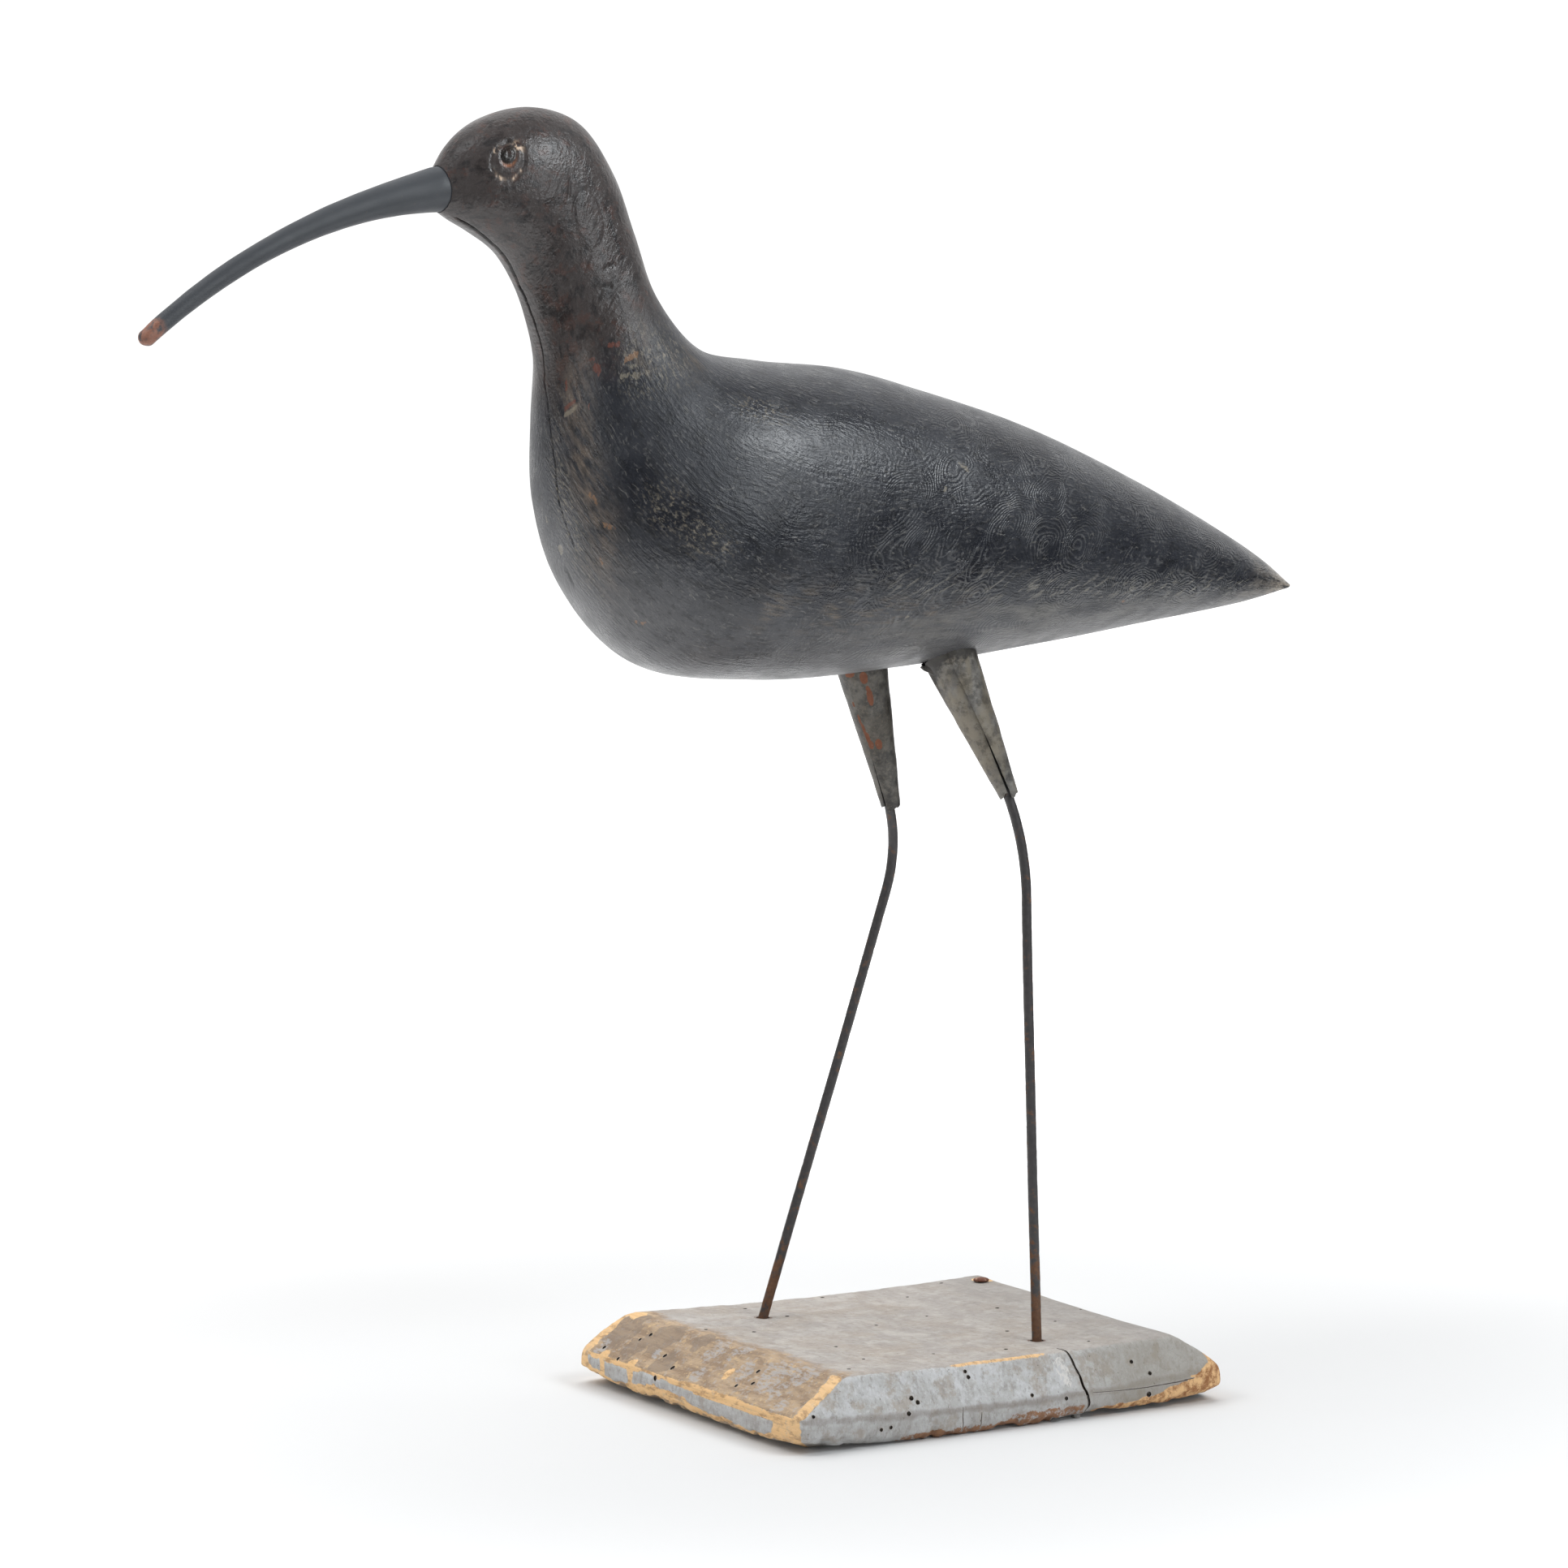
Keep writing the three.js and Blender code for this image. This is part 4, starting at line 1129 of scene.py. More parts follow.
def board_nail(material):
    seat = nail_seat()
    radius = NAIL_HEAD_DIAMETER / 2
    shank = NAIL_SHANK_DIAMETER / 2
    profile = [(shank * 0.4, -NAIL_DEPTH)]
    profile += [(shank, height) for height in np.linspace(-NAIL_DEPTH + 3, -0.6, 12)]
    profile += [
        (shank + (radius - shank) * share, -0.15 + 0.1 * share) for share in np.linspace(0.15, 0.9, 8)]
    profile += [(radius * math.cos(turn) ** 0.8, NAIL_HEAD_HEIGHT * math.sin(turn) ** 0.7)
                for turn in np.linspace(0.1, 1.5, 22)]
    rings = turned_rings(profile, seat, 56)
    points = rings.reshape(-1, 3)
    head = smooth(points[:, 2], seat[2] - 0.6, seat[2])
    rough = 0.16 * wobble(points, 2.2, 71) + 0.1 * wobble(points, 0.9, 72)
    skin = roughened(rings, seat - [0, 0, 2], rough * head)
    finish_piece(make_object("board_nail_head", *skin), "board_nail", material)


PEG_FOOT = np.array([PEG_X, PEG_FROM_FRONT - BOARD_WIDTH / 2, 0.0])


def front_peg(material):
    radius = PEG_DIAMETER / 2
    profile = [(radius * 0.6, 0.0), (radius * 0.88, 0.0), (radius * 0.97, 0.15)]
    profile += [(radius, height) for height in np.linspace(0.5, PEG_LENGTH - 0.4, 40)]
    profile += [(radius * 0.9, PEG_LENGTH)]
    rings = turned_rings(profile, PEG_FOOT, 40)
    points = rings.reshape(-1, 3)
    rough = 0.05 * wobble(points, [0.8, 0.8, 9], 81) + 0.05 * wobble(points, 2, 82)
    skin = roughened(rings, PEG_FOOT + rings * [0, 0, 1], rough)
    finish_piece(make_object("front_peg_wood", *skin), "front_peg", material)


def bar_cutter(name, diameter, foot, bottom, top):
    rings = turned_rings([(diameter / 2, bottom), (diameter / 2, top)], foot, 24)
    return make_object(name, *capped_loft(rings))


# Materials

class Nodes:
    """A node tree. Each method adds a node and returns its output."""

    def __init__(self, tree):
        self.tree = tree

    def put(self, socket, value):
        if isinstance(value, bpy.types.NodeSocket):
            self.tree.links.new(value, socket)
        elif isinstance(value, tuple) and socket.type == "RGBA":
            socket.default_value = (*value, 1)
        else:
            socket.default_value = value

    def node(self, kind, inputs, output=0, **settings):
        """inputs maps sockets, by name or number, to values or outputs."""
        node = self.tree.nodes.new("ShaderNode" + kind)
        for name, value in settings.items():
            setattr(node, name, value)
        for socket, value in inputs.items():
            self.put(node.inputs[socket], value)
        return node.outputs[output]

    def vector(self, operation, first, second, output=0):
        return self.node("VectorMath", {0: first, 1: second}, output, operation=operation)

    def scaled(self, place, scale):
        return self.node("VectorMath", {0: place, "Scale": scale}, operation="SCALE")

    def math(self, operation, first, second=0.0):
        return self.node("Math", {0: first, 1: second}, operation=operation)

    def times(self, first, *others):
        for value in others:
            first = self.math("MULTIPLY", first, value)
        return first

    def plus(self, first, *others):
        for value in others:
            first = self.math("ADD", first, value)
        return first

    def weighed(self, *pairs):
        """The sum of values, each times its weight."""
        return self.plus(*(self.times(value, weight) for value, weight in pairs))

    def step(self, value, low, high, start=0.0, end=1.0):
        """A smooth step of value from start at low to end at high."""
        limits = {"From Min": low, "From Max": high, "To Min": start, "To Max": end}
        return self.node("MapRange", {**limits, "Value": value}, "Result", interpolation_type="SMOOTHSTEP")

    def mix(self, share, first, second):
        return self.node("Mix", {"Factor": share, 6: first, 7: second}, 2, data_type="RGBA")

    def coated(self, colour, *coats):
        """The colour under coats of (share, colour), laid on one after another."""
        for share, coat in coats:
            colour = self.mix(share, colour, coat)
        return colour


class Finish(Nodes):
    """A material with textures measured in millimetres."""

    def __init__(self, name):
        self.material = bpy.data.materials.new(name)
        self.material.use_nodes = True
        super().__init__(self.material.node_tree)
        self.shader = self.tree.nodes["Principled BSDF"]
        self.place = self.scaled(self.node("TexCoord", {}, "Object"), 1 / MM)

    def noise(self, size, detail=2, roughness=0.5, place=None, stretch=(1, 1, 1)):
        """Noise from 0 to 1 with waves of the given size."""
        scales = tuple(1 / (size * share) for share in stretch)
        return self.node("TexNoise", {
            "Vector": self.vector("MULTIPLY", place or self.place, scales),
            "Scale": 1.0, "Detail": detail, "Roughness": roughness,
        })

    def blots(self, size, low, high, share=1.0, detail=4, roughness=0.6, place=None, stretch=(1, 1, 1)):
        """Blots up to a share strong, where noise of the given size passes from low to high."""
        return self.step(self.noise(size, detail, roughness, place, stretch), low, high, 0.0, share)

    def warped(self, place, size, amount):
        """The place moved about by noise of the given size."""
        inputs = {"Vector": self.scaled(place, 1 / size), "Scale": 1.0, "Detail": 1.0}
        shift = self.node("TexNoise", inputs, "Color")
        return self.vector("ADD", place, self.scaled(shift, amount))

    def slanted(self, place):
        """The place turned an eighth of a turn, for strokes that run aslant."""
        axes = ((0.71, -0.71, 0.0), (0.71, 0.71, 0.0))
        parts = [self.vector("DOT_PRODUCT", place, axis, "Value") for axis in axes]
        return self.node("CombineXYZ", dict(enumerate(parts)))

    def cells(self, place, size):
        """Distance from the nearest of many points scattered about size apart."""
        scattered = {"Vector": self.scaled(place, 1 / size), "Scale": 1.0}
        return self.math("MULTIPLY", self.node("TexVoronoi", scattered, "Distance"), size)

    def attribute(self, name, field="Fac"):
        return self.node("Attribute", {}, field, attribute_name=name)

    def torn(self, name, ragged, weight, low, high, share=1.0):
        """An attribute's mask with its rim torn by noise."""
        return self.step(self.plus(self.attribute(name), self.times(ragged, weight)), low, high, 0.0, share)

    def part(self, axis):
        return self.node("SeparateXYZ", {0: self.place}, axis)

    def done(self, colour, roughness, height, metallic=0.0, specular=0.5):
        """Links the last sockets. height is the relief."""
        relief = {"Strength": 1.0, "Distance": MM, "Height": height}
        self.put(self.shader.inputs["Normal"], self.node("Bump", relief))
        self.put(self.shader.inputs["Base Color"], colour)
        self.put(self.shader.inputs["Roughness"], roughness)
        self.put(self.shader.inputs["Metallic"], metallic)
        self.put(self.shader.inputs["Specular IOR Level"], specular)
        return self.material


def bird_finish():
    f = Finish("old_dark_paint")
    lay = f.attribute("lay", "Vector")
    head = f.attribute("head")
    under = f.attribute("under")
    # Relief: combed arcs of bristle lines behind, brush strokes and pebbled paint, wrinkles on the neck
    waves = f.math("SINE", f.times(f.cells(f.warped(lay, 14, 9), 22), TURN / 1.5))
    arcs = f.times(waves, f.blots(22, 0.36, 0.56, 1.0, 2, 0.5, lay), f.attribute("combed"))
    strokes = f.noise(1.2, 2, 0.6, f.warped(lay, 26, 9), (7, 1, 1))
    pebbles = f.noise(1.8, 2, 0.6)
    wrinkles = f.noise(2.6, 2, 0.6, f.warped(lay, 9, 4), (1, 3.2, 1))
    leather = f.noise(4.2, 3, 0.6)
    body_relief = f.weighed((arcs, 0.055), (strokes, 0.32), (pebbles, 0.24))
    neck_relief = f.weighed((wrinkles, 0.3), (pebbles, 0.28), (leather, 0.28))
    height = f.weighed(
        (f.math("SUBTRACT", 1.0, head), body_relief), (head, neck_relief), (f.noise(0.5, 1), 0.03))
    # Broad colours: slate on the body, brown with red and black places on head and neck
    slate = f.mix(f.blots(30, 0.35, 0.65), (0.0125, 0.0138, 0.0185), (0.0265, 0.0285, 0.0345))
    brown = f.coated(
        f.mix(f.noise(16, 4, 0.6), (0.028, 0.0235, 0.023), (0.058, 0.048, 0.0455)),
        (f.blots(7, 0.52, 0.64, 0.45, 4, 0.7), (0.07, 0.03, 0.021)),
        (f.blots(10, 0.54, 0.66, 0.65, 4, 0.65), (0.011, 0.009, 0.009)))
    # Masks of what lies over them, up to the marks where the paint has come off
    worn = f.times(f.attribute("worn"), f.blots(3.5, 0.34, 0.62, 0.9, 4, 0.65, lay, (3, 1, 1)))
    ochre = f.times(f.attribute("ochre"), f.blots(2.6, 0.4, 0.7, 0.75, 4, 0.65, lay, (4.5, 1, 1)))
    # The plane under the tail: rubbed paint, and painted light for the floor's bounce.
    rubbed_and_bounce_lit_under = f.times(under, f.blots(12, 0.35, 0.65, 0.7, 4, 0.6, lay, (3, 1, 1)))
    # Painted light: the belly is lighter, for light bounced up from the floor.
    belly = f.times(f.attribute("belly"), f.step(f.noise(14, 4, 0.6), 0.3, 0.6, 0.3, 0.7))
    mottle = f.noise(3.6, 4, 0.7, lay, (2.4, 1, 1))
    crests = f.times(
        f.step(f.weighed((strokes, 0.5), (pebbles, 0.5), (arcs, 0.06)), 0.53, 0.64),
        f.step(f.noise(18, 3), 0.36, 0.62, 0.1, 0.5), f.step(head, 0.0, 1.0, 1.0, 0.4))
    arc_lines = f.times(f.step(arcs, 0.35, 0.9), f.step(f.noise(9, 3), 0.36, 0.6, 0.1, 0.5))
    hairs = f.times(
        f.blots(0.9, 0.63, 0.72, 1.0, 2, 0.5, f.warped(lay, 10, 8), (12, 1, 1)),
        f.step(head, 0.0, 1.0, 0.5, 0.2))
    scuffs = f.times(f.attribute("scuffed"), f.blots(1.6, 0.5, 0.64, 0.75, 4, 0.7, lay, (1.6, 1, 1)))
    chine = f.times(f.attribute("chine"), f.blots(2.0, 0.52, 0.64, 0.7, 3, 0.65, f.slanted(lay), (1, 4.5, 1)))
    ragged = f.noise(1.5, 3, 0.7, lay, (1.5, 1, 1))
    colour = f.coated(
        f.mix(head, slate, brown),
        (worn, (0.14, 0.11, 0.086)),
        (ochre, (0.125, 0.095, 0.065)),
        # Painted light: the plane under the tail, partly rubbed, and the belly are lighter for light bounced
        # up from the floor.
        (rubbed_and_bounce_lit_under, (0.115, 0.11, 0.1)),
        (belly, (0.084, 0.083, 0.086)),
        (f.step(mottle, 0.5, 0.36, 0.0, 0.6), (0.009, 0.0095, 0.011)),
        (crests, (0.1, 0.098, 0.098)),
        (arc_lines, (0.085, 0.087, 0.09)),
        (hairs, (0.14, 0.135, 0.125)),
        (scuffs, f.mix(f.noise(4, 1), (0.11, 0.1, 0.075), (0.22, 0.19, 0.15))),
        (chine, (0.17, 0.16, 0.14)),
        (f.torn("pale", ragged, 1.3, 1.12, 1.32, 0.5),
         f.mix(f.noise(2.2), (0.13, 0.12, 0.09), (0.3, 0.26, 0.2))),
        (f.torn("tan", ragged, 1.3, 1.12, 1.32, 0.48),
         f.mix(f.noise(2), (0.16, 0.07, 0.035), (0.36, 0.2, 0.09))),
        (f.torn("red", ragged, 1.3, 1.12, 1.36, 0.6), (0.14, 0.045, 0.03)),
        (f.times(f.attribute("orange"), f.blots(1.5, 0.35, 0.5, 1.0, 3, 0.5)), (0.27, 0.11, 0.055)),
        (f.times(f.attribute("tip"), f.step(mottle, 0.36, 0.56)), (0.25, 0.22, 0.185)),
        (f.attribute("cream"), f.mix(f.noise(1.2), (0.42, 0.28, 0.19), (0.66, 0.54, 0.42))),
        # The dark mask: black paint in the pupils, and painted shade in the throat crack and the creases.
        (f.attribute("dark"), (0.008, 0.007, 0.006)))
    gloss = f.step(f.noise(13, 3), 0.3, 0.7, 0.23, 0.36)
    roughness = f.plus(gloss, f.weighed((under, 0.12), (head, 0.03), (f.attribute("matte"), 0.2)))
    return f.done(colour, roughness, height)


def bill_finish():
    f = Finish("slate_bill_paint")
    streaks = f.noise(2.5, 3, 0.5, None, (8, 1, 4))
    wood = f.mix(f.noise(2, 3), (0.13, 0.05, 0.035), (0.3, 0.14, 0.09))
    colour = f.coated(
        f.mix(streaks, (0.034, 0.038, 0.044), (0.052, 0.056, 0.063)),
        (f.times(f.attribute("worn"), f.blots(3, 0.3, 0.55, 1.0, 3)), wood),
        (f.blots(1.3, 0.68, 0.76, 0.4, 2, 0.5), (0.1, 0.085, 0.07)))
    height = f.weighed((streaks, 0.05), (f.noise(1.2), 0.02), (f.noise(9), 0.15))
    return f.done(colour, f.step(f.noise(12, 3), 0.3, 0.7, 0.46, 0.56), height)


def iron_finish():
    f = Finish("rusty_rod_iron")
    low = f.step(f.part(2), 120, 40)
    rough = f.noise(5, 4, 0.65)
    rust = f.step(f.plus(rough, f.times(low, 0.16)), 0.55, 0.7)
    dark = f.mix(f.noise(2.5, 3), (0.034, 0.032, 0.033), (0.07, 0.065, 0.065))
    brown = f.mix(f.noise(1.6, 3), (0.075, 0.035, 0.02), (0.19, 0.1, 0.055))
    height = f.weighed((rough, 0.1), (f.noise(0.8, 3), 0.08))
    return f.done(f.mix(rust, dark, brown), f.step(rust, 0, 1, 0.42, 0.75), height, metallic=0.25)


def sheet_finish(name, dull, bright, warm):
    f = Finish(name)
    stained = f.noise(9, 4, 0.65)
    # Painted shade and grime: darker where the cone meets the belly and in its dent.
    grime_and_shade = f.torn("grime_and_shade", f.noise(2.5, 3, 0.65), 0.9, 0.75, 1.15, 0.85)
    rust = f.torn("rust", f.noise(1.5, 4, 0.75), 1.3, 1.1, 1.24)
    colour = f.coated(
        f.mix(f.step(stained, 0.36, 0.64), dull, bright),
        (f.blots(14, 0.45, 0.62, 0.6, 3, 0.6, None, (1, 1, 2)), warm),
        (f.blots(5, 0.46, 0.62, 0.5, 5, 0.75), (0.028, 0.026, 0.025)),
        (f.blots(1.6, 0.5, 0.64, 0.3, 4, 0.75), (0.2, 0.17, 0.13)),
        (grime_and_shade, (0.03, 0.027, 0.025)),
        (f.times(rust, 0.9), f.mix(f.noise(2), (0.13, 0.045, 0.025), (0.27, 0.1, 0.05))),
        (f.blots(1.3, 0.74, 0.8, 0.4, 1, 0.5), (0.3, 0.28, 0.24)))
    roughness = f.plus(f.step(stained, 0.3, 0.7, 0.36, 0.55), f.times(rust, 0.3))
    return f.done(colour, roughness, f.weighed((stained, 0.3), (f.noise(1.5), 0.06)), metallic=0.4)


def board_finish():
    f = Finish("weathered_board_paint")
    grain = f.noise(1.3, 4, 0.6, None, (1, 40, 1))
    streaks = f.noise(9, 4, 0.6, f.warped(f.place, 40, 22), (1, 2.6, 1))
    patches = f.noise(30, 4, 0.6)
    fibrous = f.noise(1.6, 4, 0.7, None, (1, 3, 1.6))
    mottled = f.noise(4, 5, 0.75)
    speckled = f.noise(4.5, 5, 0.75)
    ragged = f.noise(2.6, 4, 0.7)

    def painted(name, share=1.0):
        return f.torn(name, ragged, 1.1, 0.95, 1.15, share)

    # Warm grey on top, paler in places, with painted shade that darkens it towards the right
    grey = f.coated(
        f.mix(f.step(streaks, 0.34, 0.66), (0.32, 0.293, 0.27), (0.385, 0.355, 0.327)),
        (f.step(patches, 0.42, 0.66, 0.0, 0.6), (0.36, 0.31, 0.26)),
        (f.blots(17, 0.5, 0.66, 0.5), (0.48, 0.45, 0.42)),
        (f.step(mottled, 0.5, 0.36, 0.0, 0.4), (0.22, 0.195, 0.175)),
        (f.step(mottled, 0.54, 0.68, 0.0, 0.4), (0.52, 0.49, 0.46)),
        # Painted shade: darker towards the right.
        (f.step(f.plus(f.part(0), f.times(patches, 50)), 45, 130, 0.0, 0.45), (0.23, 0.22, 0.21)))
    # Blue-grey paint with pale fibres and brownish places on the sides
    blue = f.coated(
        f.mix(f.blots(11, 0.36, 0.64, 1.0, 4, 0.65), (0.385, 0.38, 0.37), (0.48, 0.485, 0.49)),
        (f.step(fibrous, 0.48, 0.68, 0.0, 0.55), (0.58, 0.585, 0.59)),
        (f.blots(13, 0.5, 0.64, 0.65, 4, 0.7), (0.31, 0.265, 0.215)),
        (f.blots(2.4, 0.5, 0.36, 0.5, 5, 0.75, None, (1, 1, 2.2)), (0.24, 0.22, 0.2)),
        (f.step(f.part(2), 15.5, 11.5, 0.0, 0.3), (0.22, 0.2, 0.18)),
        (f.torn("ridge", fibrous, 1.0, 0.8, 1.5, 0.5), (0.17, 0.14, 0.115)),
        # Darker and browner towards the right: painted shade, and the paint's own olive tone.
        (f.step(f.part(0), 20, 70, 0.0, 0.62), (0.24, 0.215, 0.175)))
    # Brown wash on the left bevel
    wash = f.coated(
        f.mix(
            f.blots(5, 0.36, 0.64, 1.0, 4, 0.65, None, (1, 4, 1)),
            (0.26, 0.185, 0.125), (0.42, 0.31, 0.205)),
        (f.blots(3, 0.56, 0.68, 0.5, 3, 0.65), (0.4, 0.385, 0.37)),
        (f.step(fibrous, 0.46, 0.34, 0.0, 0.5), (0.2, 0.15, 0.11)),
        (f.step(speckled, 0.57, 0.63, 0.0, 0.6), (0.55, 0.39, 0.22)),
        (f.step(speckled, 0.42, 0.36, 0.0, 0.5), (0.32, 0.315, 0.31)))
    # Bare ochre wood, browner wood at the right and rusty broken edges
    wood = f.coated(
        f.mix(f.noise(2.2, 4, 0.6, None, (1, 20, 1)), (0.56, 0.34, 0.15), (0.84, 0.57, 0.3)),
        (f.blots(3.5, 0.52, 0.36, 0.75, 4, 0.7, None, (1, 3, 1)), (0.3, 0.18, 0.09)),
        (f.blots(5, 0.56, 0.64, 0.4, 5, 0.75), (0.42, 0.36, 0.29)))
    brown = f.mix(
        f.blots(3.5, 0.36, 0.62, 1.0, 4, 0.7, None, (1, 4, 1)), (0.27, 0.12, 0.05), (0.66, 0.42, 0.21))
    rust = f.mix(f.noise(3, 3), (0.1, 0.04, 0.02), (0.36, 0.17, 0.07))
    edge_line = f.times(f.step(f.attribute("edge"), 0.5, 0.8), f.blots(7, 0.5, 0.62, 0.35, 3, 0.5))
    colour = f.coated(
        f.mix(f.torn("wash", ragged, 0.8, 0.5, 1.2), grey, wash),
        (painted("stains", 0.55), (0.19, 0.15, 0.12)),
        (painted("blue"), blue),
        (f.times(painted("flecks"), f.step(fibrous, 0.42, 0.56, 0.0, 0.65)), (0.36, 0.362, 0.37)),
        (f.times(painted("pale"), f.step(fibrous, 0.42, 0.54, 0.0, 0.8)), (0.6, 0.58, 0.55)),
        (painted("bare", 0.92), wood),
        (painted("brown"), brown),
        (f.torn("broken", ragged, 1.2, 0.95, 1.15, 0.9), rust),
        (f.torn("rusty", ragged, 0.6, 0.75, 1.2, 0.8), (0.13, 0.055, 0.03)),
        # Painted shade: near black on the cut faces of holes, cracks and bores, which lack the skin mask.
        (f.step(f.attribute("skin"), 0.22, 0.06), (0.028, 0.02, 0.015)),
        (edge_line, (0.16, 0.12, 0.09)),
        (f.blots(1.4, 0.7, 0.76, 0.55, 2, 0.5), (0.09, 0.075, 0.06)),
        (f.blots(1.0, 0.7, 0.76, 0.5, 2, 0.5, None, (1, 6, 1)), (0.12, 0.1, 0.085)),
        (f.step(grain, 0.58, 0.75, 0.0, 0.3), (0.2, 0.17, 0.145)))
    height = f.weighed((grain, -0.3), (fibrous, 0.25), (f.noise(6, 3), 0.2))
    return f.done(colour, f.step(patches, 0.3, 0.7, 0.72, 0.86), height, specular=0.3)


def nail_finish():
    f = Finish("red_rust")
    rust = f.mix(f.noise(1.4, 3, 0.6), (0.05, 0.016, 0.01), (0.2, 0.075, 0.04))
    # Tan blots over the rust: paler rust, and partly a painted highlight on the head.
    colour = f.mix(f.blots(2.5, 0.55, 0.7, 1.0, 2, 0.5), rust, (0.4, 0.24, 0.16))
    roughness = f.step(f.noise(2), 0.3, 0.7, 0.55, 0.8)
    return f.done(colour, roughness, f.times(f.noise(0.7, 3), 0.1), metallic=0.1)


def peg_finish():
    f = Finish("grey_peg_wood")
    grain = f.noise(0.7, 3, 0.6, None, (1, 1, 12))
    grey = f.mix(grain, (0.2, 0.19, 0.18), (0.42, 0.4, 0.38))
    colour = f.mix(f.blots(3, 0.55, 0.7, 1.0, 3, 0.5), grey, (0.14, 0.13, 0.12))
    return f.done(colour, f.step(grain, 0.3, 0.7, 0.7, 0.85), f.times(grain, 0.15), specular=0.3)


# The object

BIRD_BORE_PLAY = SEAT_GAP + 0.3

bird_bores = [rod_cutter(leg, BIRD_BORE_PLAY) for leg in LEGS.values()]
board_bores = [rod_cutter(leg, HOLE_CLEARANCE) for leg in LEGS.values()]
board_bores += [
    bar_cutter("nail_bore", NAIL_SHANK_DIAMETER + 2 * SEAT_GAP, nail_seat(), -NAIL_DEPTH - 1, 4),
    bar_cutter("peg_bore", PEG_DIAMETER + 2 * SEAT_GAP, PEG_FOOT, -2, PEG_LENGTH + SEAT_GAP),
]
iron = iron_finish()
carved_bird(bird_finish(), bill_cutter(), bird_bores)
bill(bill_finish())
rod("left", iron, 21)
rod("right", iron, 31)
thigh("left", sheet_finish(
    "old_sheet_metal", (0.11, 0.105, 0.098), (0.21, 0.2, 0.183), (0.21, 0.178, 0.125)))
# The far cone is painted darker than the near one, as painted shade under the body, besides its rust stains.
thigh("right", sheet_finish(
    "shaded_rust_stained_sheet_metal", (0.036, 0.034, 0.032), (0.13, 0.122, 0.108), (0.08, 0.07, 0.055)))
base_board(board_finish(), board_bores)
board_nail(nail_finish())
front_peg(peg_finish())


# Floor, light and camera. Distances of lights are metres.

CAMERA_PLACE = Vector((-1458.0, -2237.2, 554.3)) * MM
CAMERA_TARGET = Vector((-47.3, 29.2, 296.3)) * MM
CAMERA_FIELD = math.radians(16)
TOWARDS_CAMERA = CAMERA_PLACE - CAMERA_TARGET
CAMERA_HEADING = math.atan2(TOWARDS_CAMERA.y, TOWARDS_CAMERA.x)
OBJECT_MIDDLE = Vector((0, 0, 0.33))
COOL_WHITE = (0.93, 0.97, 1.0)
# Rectangular lights: azimuth, elevation, distance, width, height, power, and whether the glossy paint
# reflects them. Azimuth 0 is towards the camera and grows to the right of the picture.
LIGHTS = {
    "right_softbox": (59, 39, 1.7, 0.85, 0.6, 16, True),
    "low_right_fill": (46, 12, 1.7, 0.6, 0.45, 4.4, True),
    "low_left_fill": (-40, 14, 1.7, 0.6, 0.4, 1.9, True),
    "left_light": (-75, 45, 2.0, 1.4, 1.4, 25, False),
    "overhead_light": (180, 78, 2.2, 2.2, 2.2, 45, False),
    "forehead_light": (-61, 58, 2.2, 0.7, 0.7, 4, True),
}
CARD_RADIUS = 800
CARD_HEIGHT = 440
CARD_FROM = -75
CARD_TO = 150
CARD_POSTS = 40
FLOOR_RINGS = [20, 400, 1000, 2000, 4000, 7000]
FLOOR_SIDES = 96
FLOOR_FADE_START = 250
FLOOR_FADE_END = 1000
FLOOR_GLOW = 0.3
SEEN_FADE_END = 1500
SEEN_GLOW = 0.75
SEEN_NEAR_GLOW = 0.03
SEEN_PAPER = 0.73
WORLD_SEEN = 1.1
WORLD_DIM = 0.1
WORLD_BRIGHT = 1.0
WORLD_DIM_TO = 0.32
WORLD_BRIGHT_FROM = 0.82
WORLD_RISE = 0.45


def add_thing(name, data, place, target):
    """An object that looks from its place to its target."""
    thing = bpy.data.objects.new(name, data)
    thing.location = place
    thing.rotation_euler = (target - place).to_track_quat("-Z", "Y").to_euler()
    bpy.context.scene.collection.objects.link(thing)
    return thing


def soft_light(name, azimuth, elevation, distance, width, height, power, mirrored):
    light = bpy.data.lights.new(name, "AREA")
    light.shape = "RECTANGLE"
    light.size = width
    light.size_y = height
    light.energy = power
    if mirrored:
        light.color = COOL_WHITE
    heading = CAMERA_HEADING + math.radians(azimuth)
    tilt = math.radians(elevation)
    direction = Vector((
        math.cos(heading) * math.cos(tilt), math.sin(heading) * math.cos(tilt), math.sin(tilt)))
    thing = add_thing(name, light, OBJECT_MIDDLE + direction * distance, OBJECT_MIDDLE)
    thing.visible_camera = False
    thing.visible_glossy = mirrored


def dark_card():
    """A low black card round the camera's side. Only reflections see it."""
    headings = CAMERA_HEADING + np.radians(np.linspace(CARD_FROM, CARD_TO, CARD_POSTS))
    rim = np.stack([np.cos(headings), np.sin(headings), 0 * headings], axis=1) * CARD_RADIUS
    points = np.vstack([rim, rim + [0, 0, CARD_HEIGHT]])
    card = make_object("dark_card", points, grid_faces(2, CARD_POSTS, closed=False).tolist())
    f = Finish("black_card")
    f.put(f.shader.inputs["Base Color"], (0.0, 0.0, 0.0))
    f.put(f.shader.inputs["Specular IOR Level"], 0.0)
    card.data.materials.append(f.material)
    card.visible_camera = False
    card.visible_diffuse = False
    card.visible_shadow = False
    card.visible_transmission = False


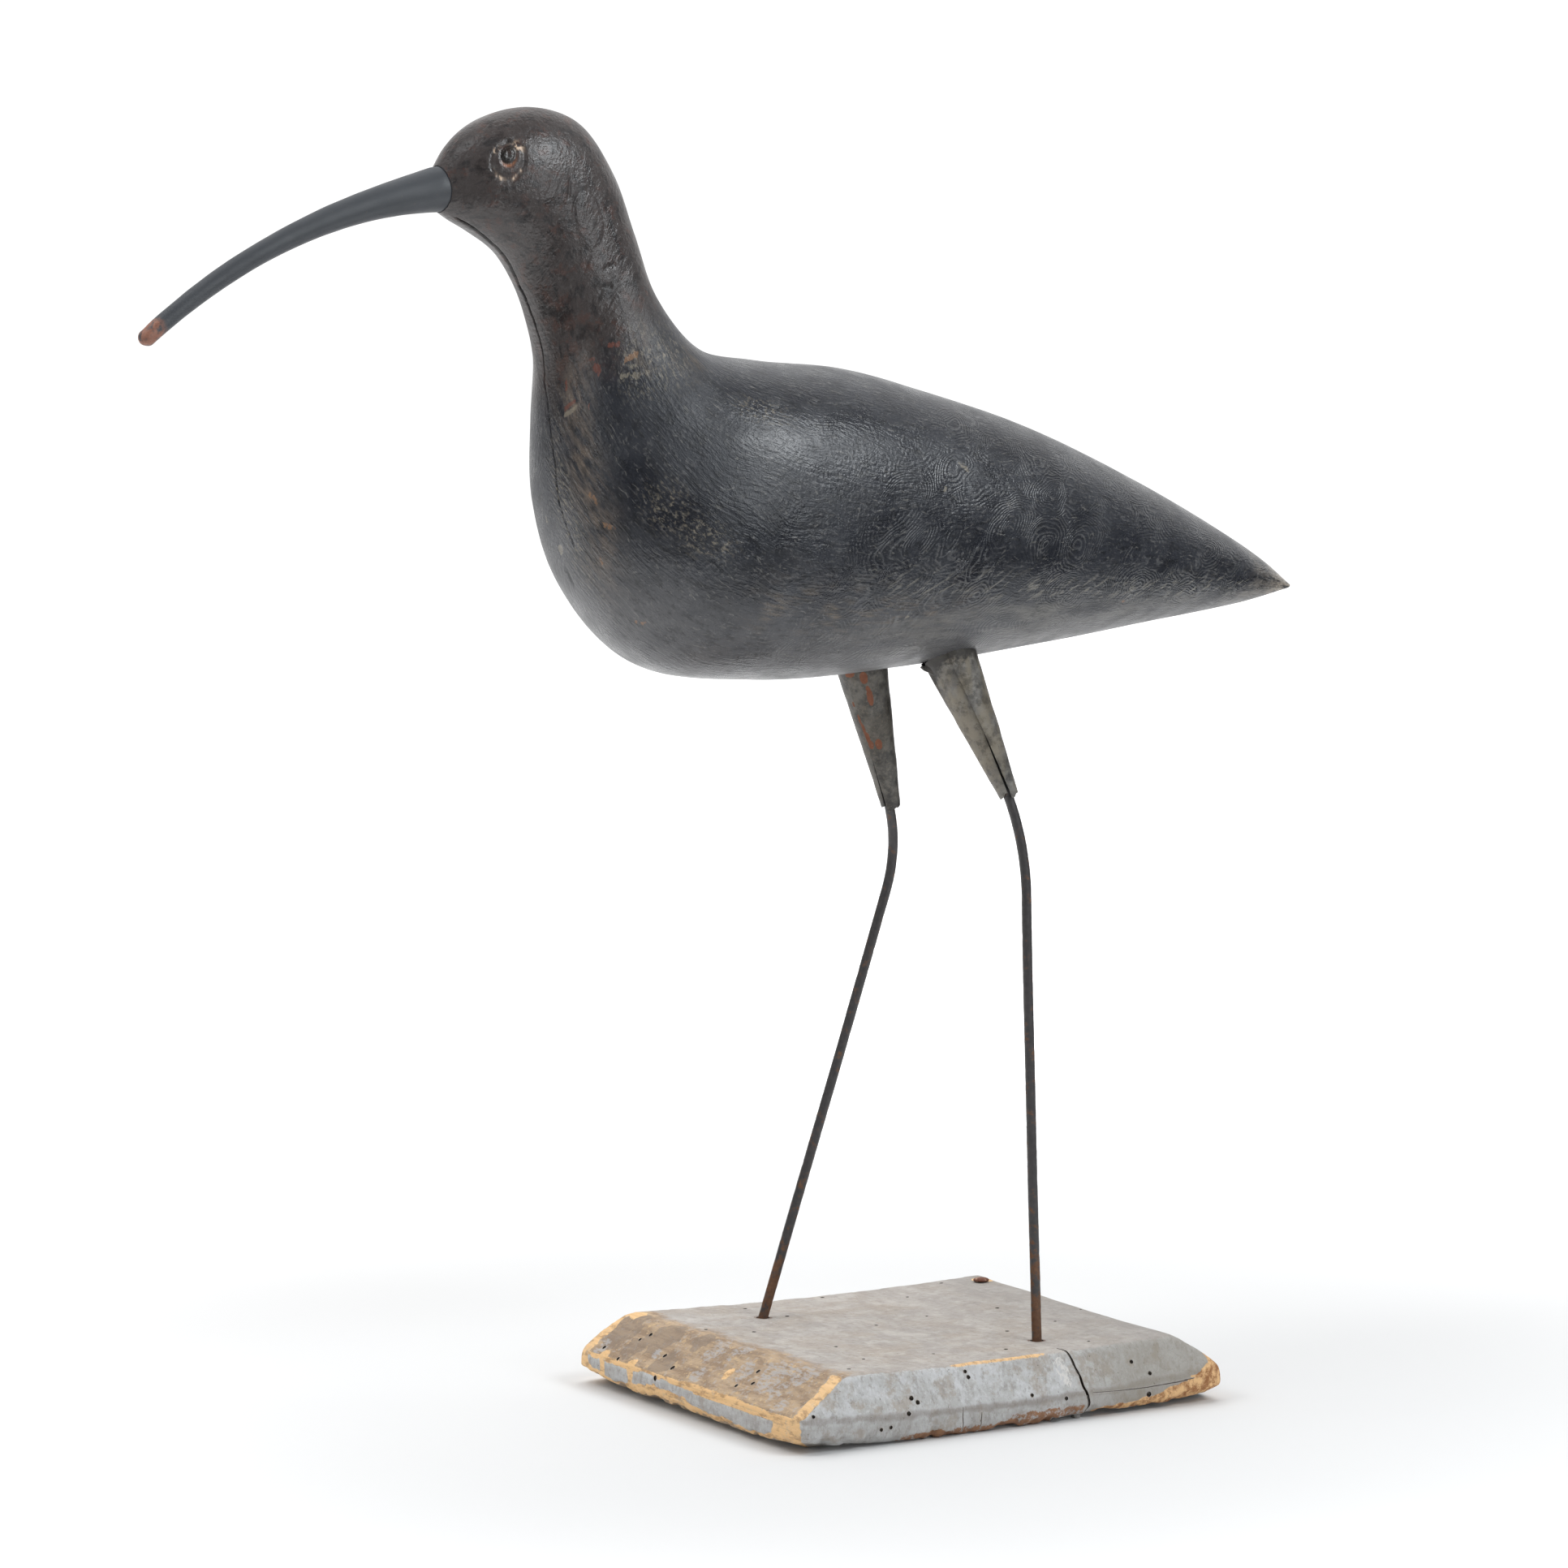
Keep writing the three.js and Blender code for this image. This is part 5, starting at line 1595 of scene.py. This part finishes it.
def studio_floor():
    points = np.vstack([circle(FLOOR_SIDES) * radius for radius in FLOOR_RINGS] + [np.zeros((1, 3))])
    faces = grid_faces(len(FLOOR_RINGS), FLOOR_SIDES)[:, ::-1].tolist()
    faces += [[len(points) - 1, side, (side + 1) % FLOOR_SIDES] for side in range(FLOOR_SIDES)]
    floor = make_object("studio_floor", points, faces)
    f = Finish("pale_floor")
    paper = f.mix(f.noise(400), (0.80, 0.80, 0.80), (0.82, 0.82, 0.82))
    seen = f.node("LightPath", {}, "Is Camera Ray")
    # Far from the object the floor glows, so that it runs into the white background
    distance = f.node("VectorMath", {0: f.place}, "Value", operation="LENGTH")
    glow = f.step(distance, FLOOR_FADE_START, FLOOR_FADE_END, 0.0, FLOOR_GLOW)
    seen_glow = f.step(distance, FLOOR_FADE_START, SEEN_FADE_END, 0.0, SEEN_GLOW)
    values = {
        "Base Color": f.mix(seen, paper, f.mix(SEEN_PAPER, (0.0, 0.0, 0.0), paper)),
        "Roughness": 0.9,
        "Specular IOR Level": 0.0,
        "Emission Color": (1.0, 1.0, 1.0),
        "Emission Strength": f.plus(glow, f.times(seen, f.plus(seen_glow, SEEN_NEAR_GLOW))),
    }
    for name, value in values.items():
        f.put(f.shader.inputs[name], value)
    floor.data.materials.append(f.material)


def studio_world():
    """White to the camera. As light it is bright behind and above and dim on the camera's side."""
    world = bpy.data.worlds.new("studio")
    world.use_nodes = True
    bpy.context.scene.world = world
    nodes = Nodes(world.node_tree)
    behind = (Vector((0, 0, WORLD_RISE)) - TOWARDS_CAMERA.normalized()).normalized()
    facing = nodes.vector("DOT_PRODUCT", nodes.node("TexCoord", {}, "Generated"), behind, "Value")
    strength = nodes.step(facing, WORLD_DIM_TO, WORLD_BRIGHT_FROM, WORLD_DIM, WORLD_BRIGHT)
    lit = nodes.node("Background", {"Color": (1, 1, 1), "Strength": strength})
    seen = nodes.node("Background", {"Color": (1, 1, 1), "Strength": WORLD_SEEN})
    mixed = nodes.node("MixShader", {"Fac": nodes.node("LightPath", {}, "Is Camera Ray"), 1: lit, 2: seen})
    nodes.put(nodes.tree.nodes["World Output"].inputs["Surface"], mixed)


def studio_camera():
    camera = bpy.data.cameras.new("camera")
    camera.sensor_fit = "HORIZONTAL"
    camera.angle = CAMERA_FIELD
    camera.clip_end = 100
    bpy.context.scene.camera = add_thing("camera", camera, CAMERA_PLACE, CAMERA_TARGET)


studio_floor()
dark_card()
studio_world()
for name, light in LIGHTS.items():
    soft_light(name, *light)
studio_camera()
bpy.context.scene.view_settings.view_transform = "Standard"
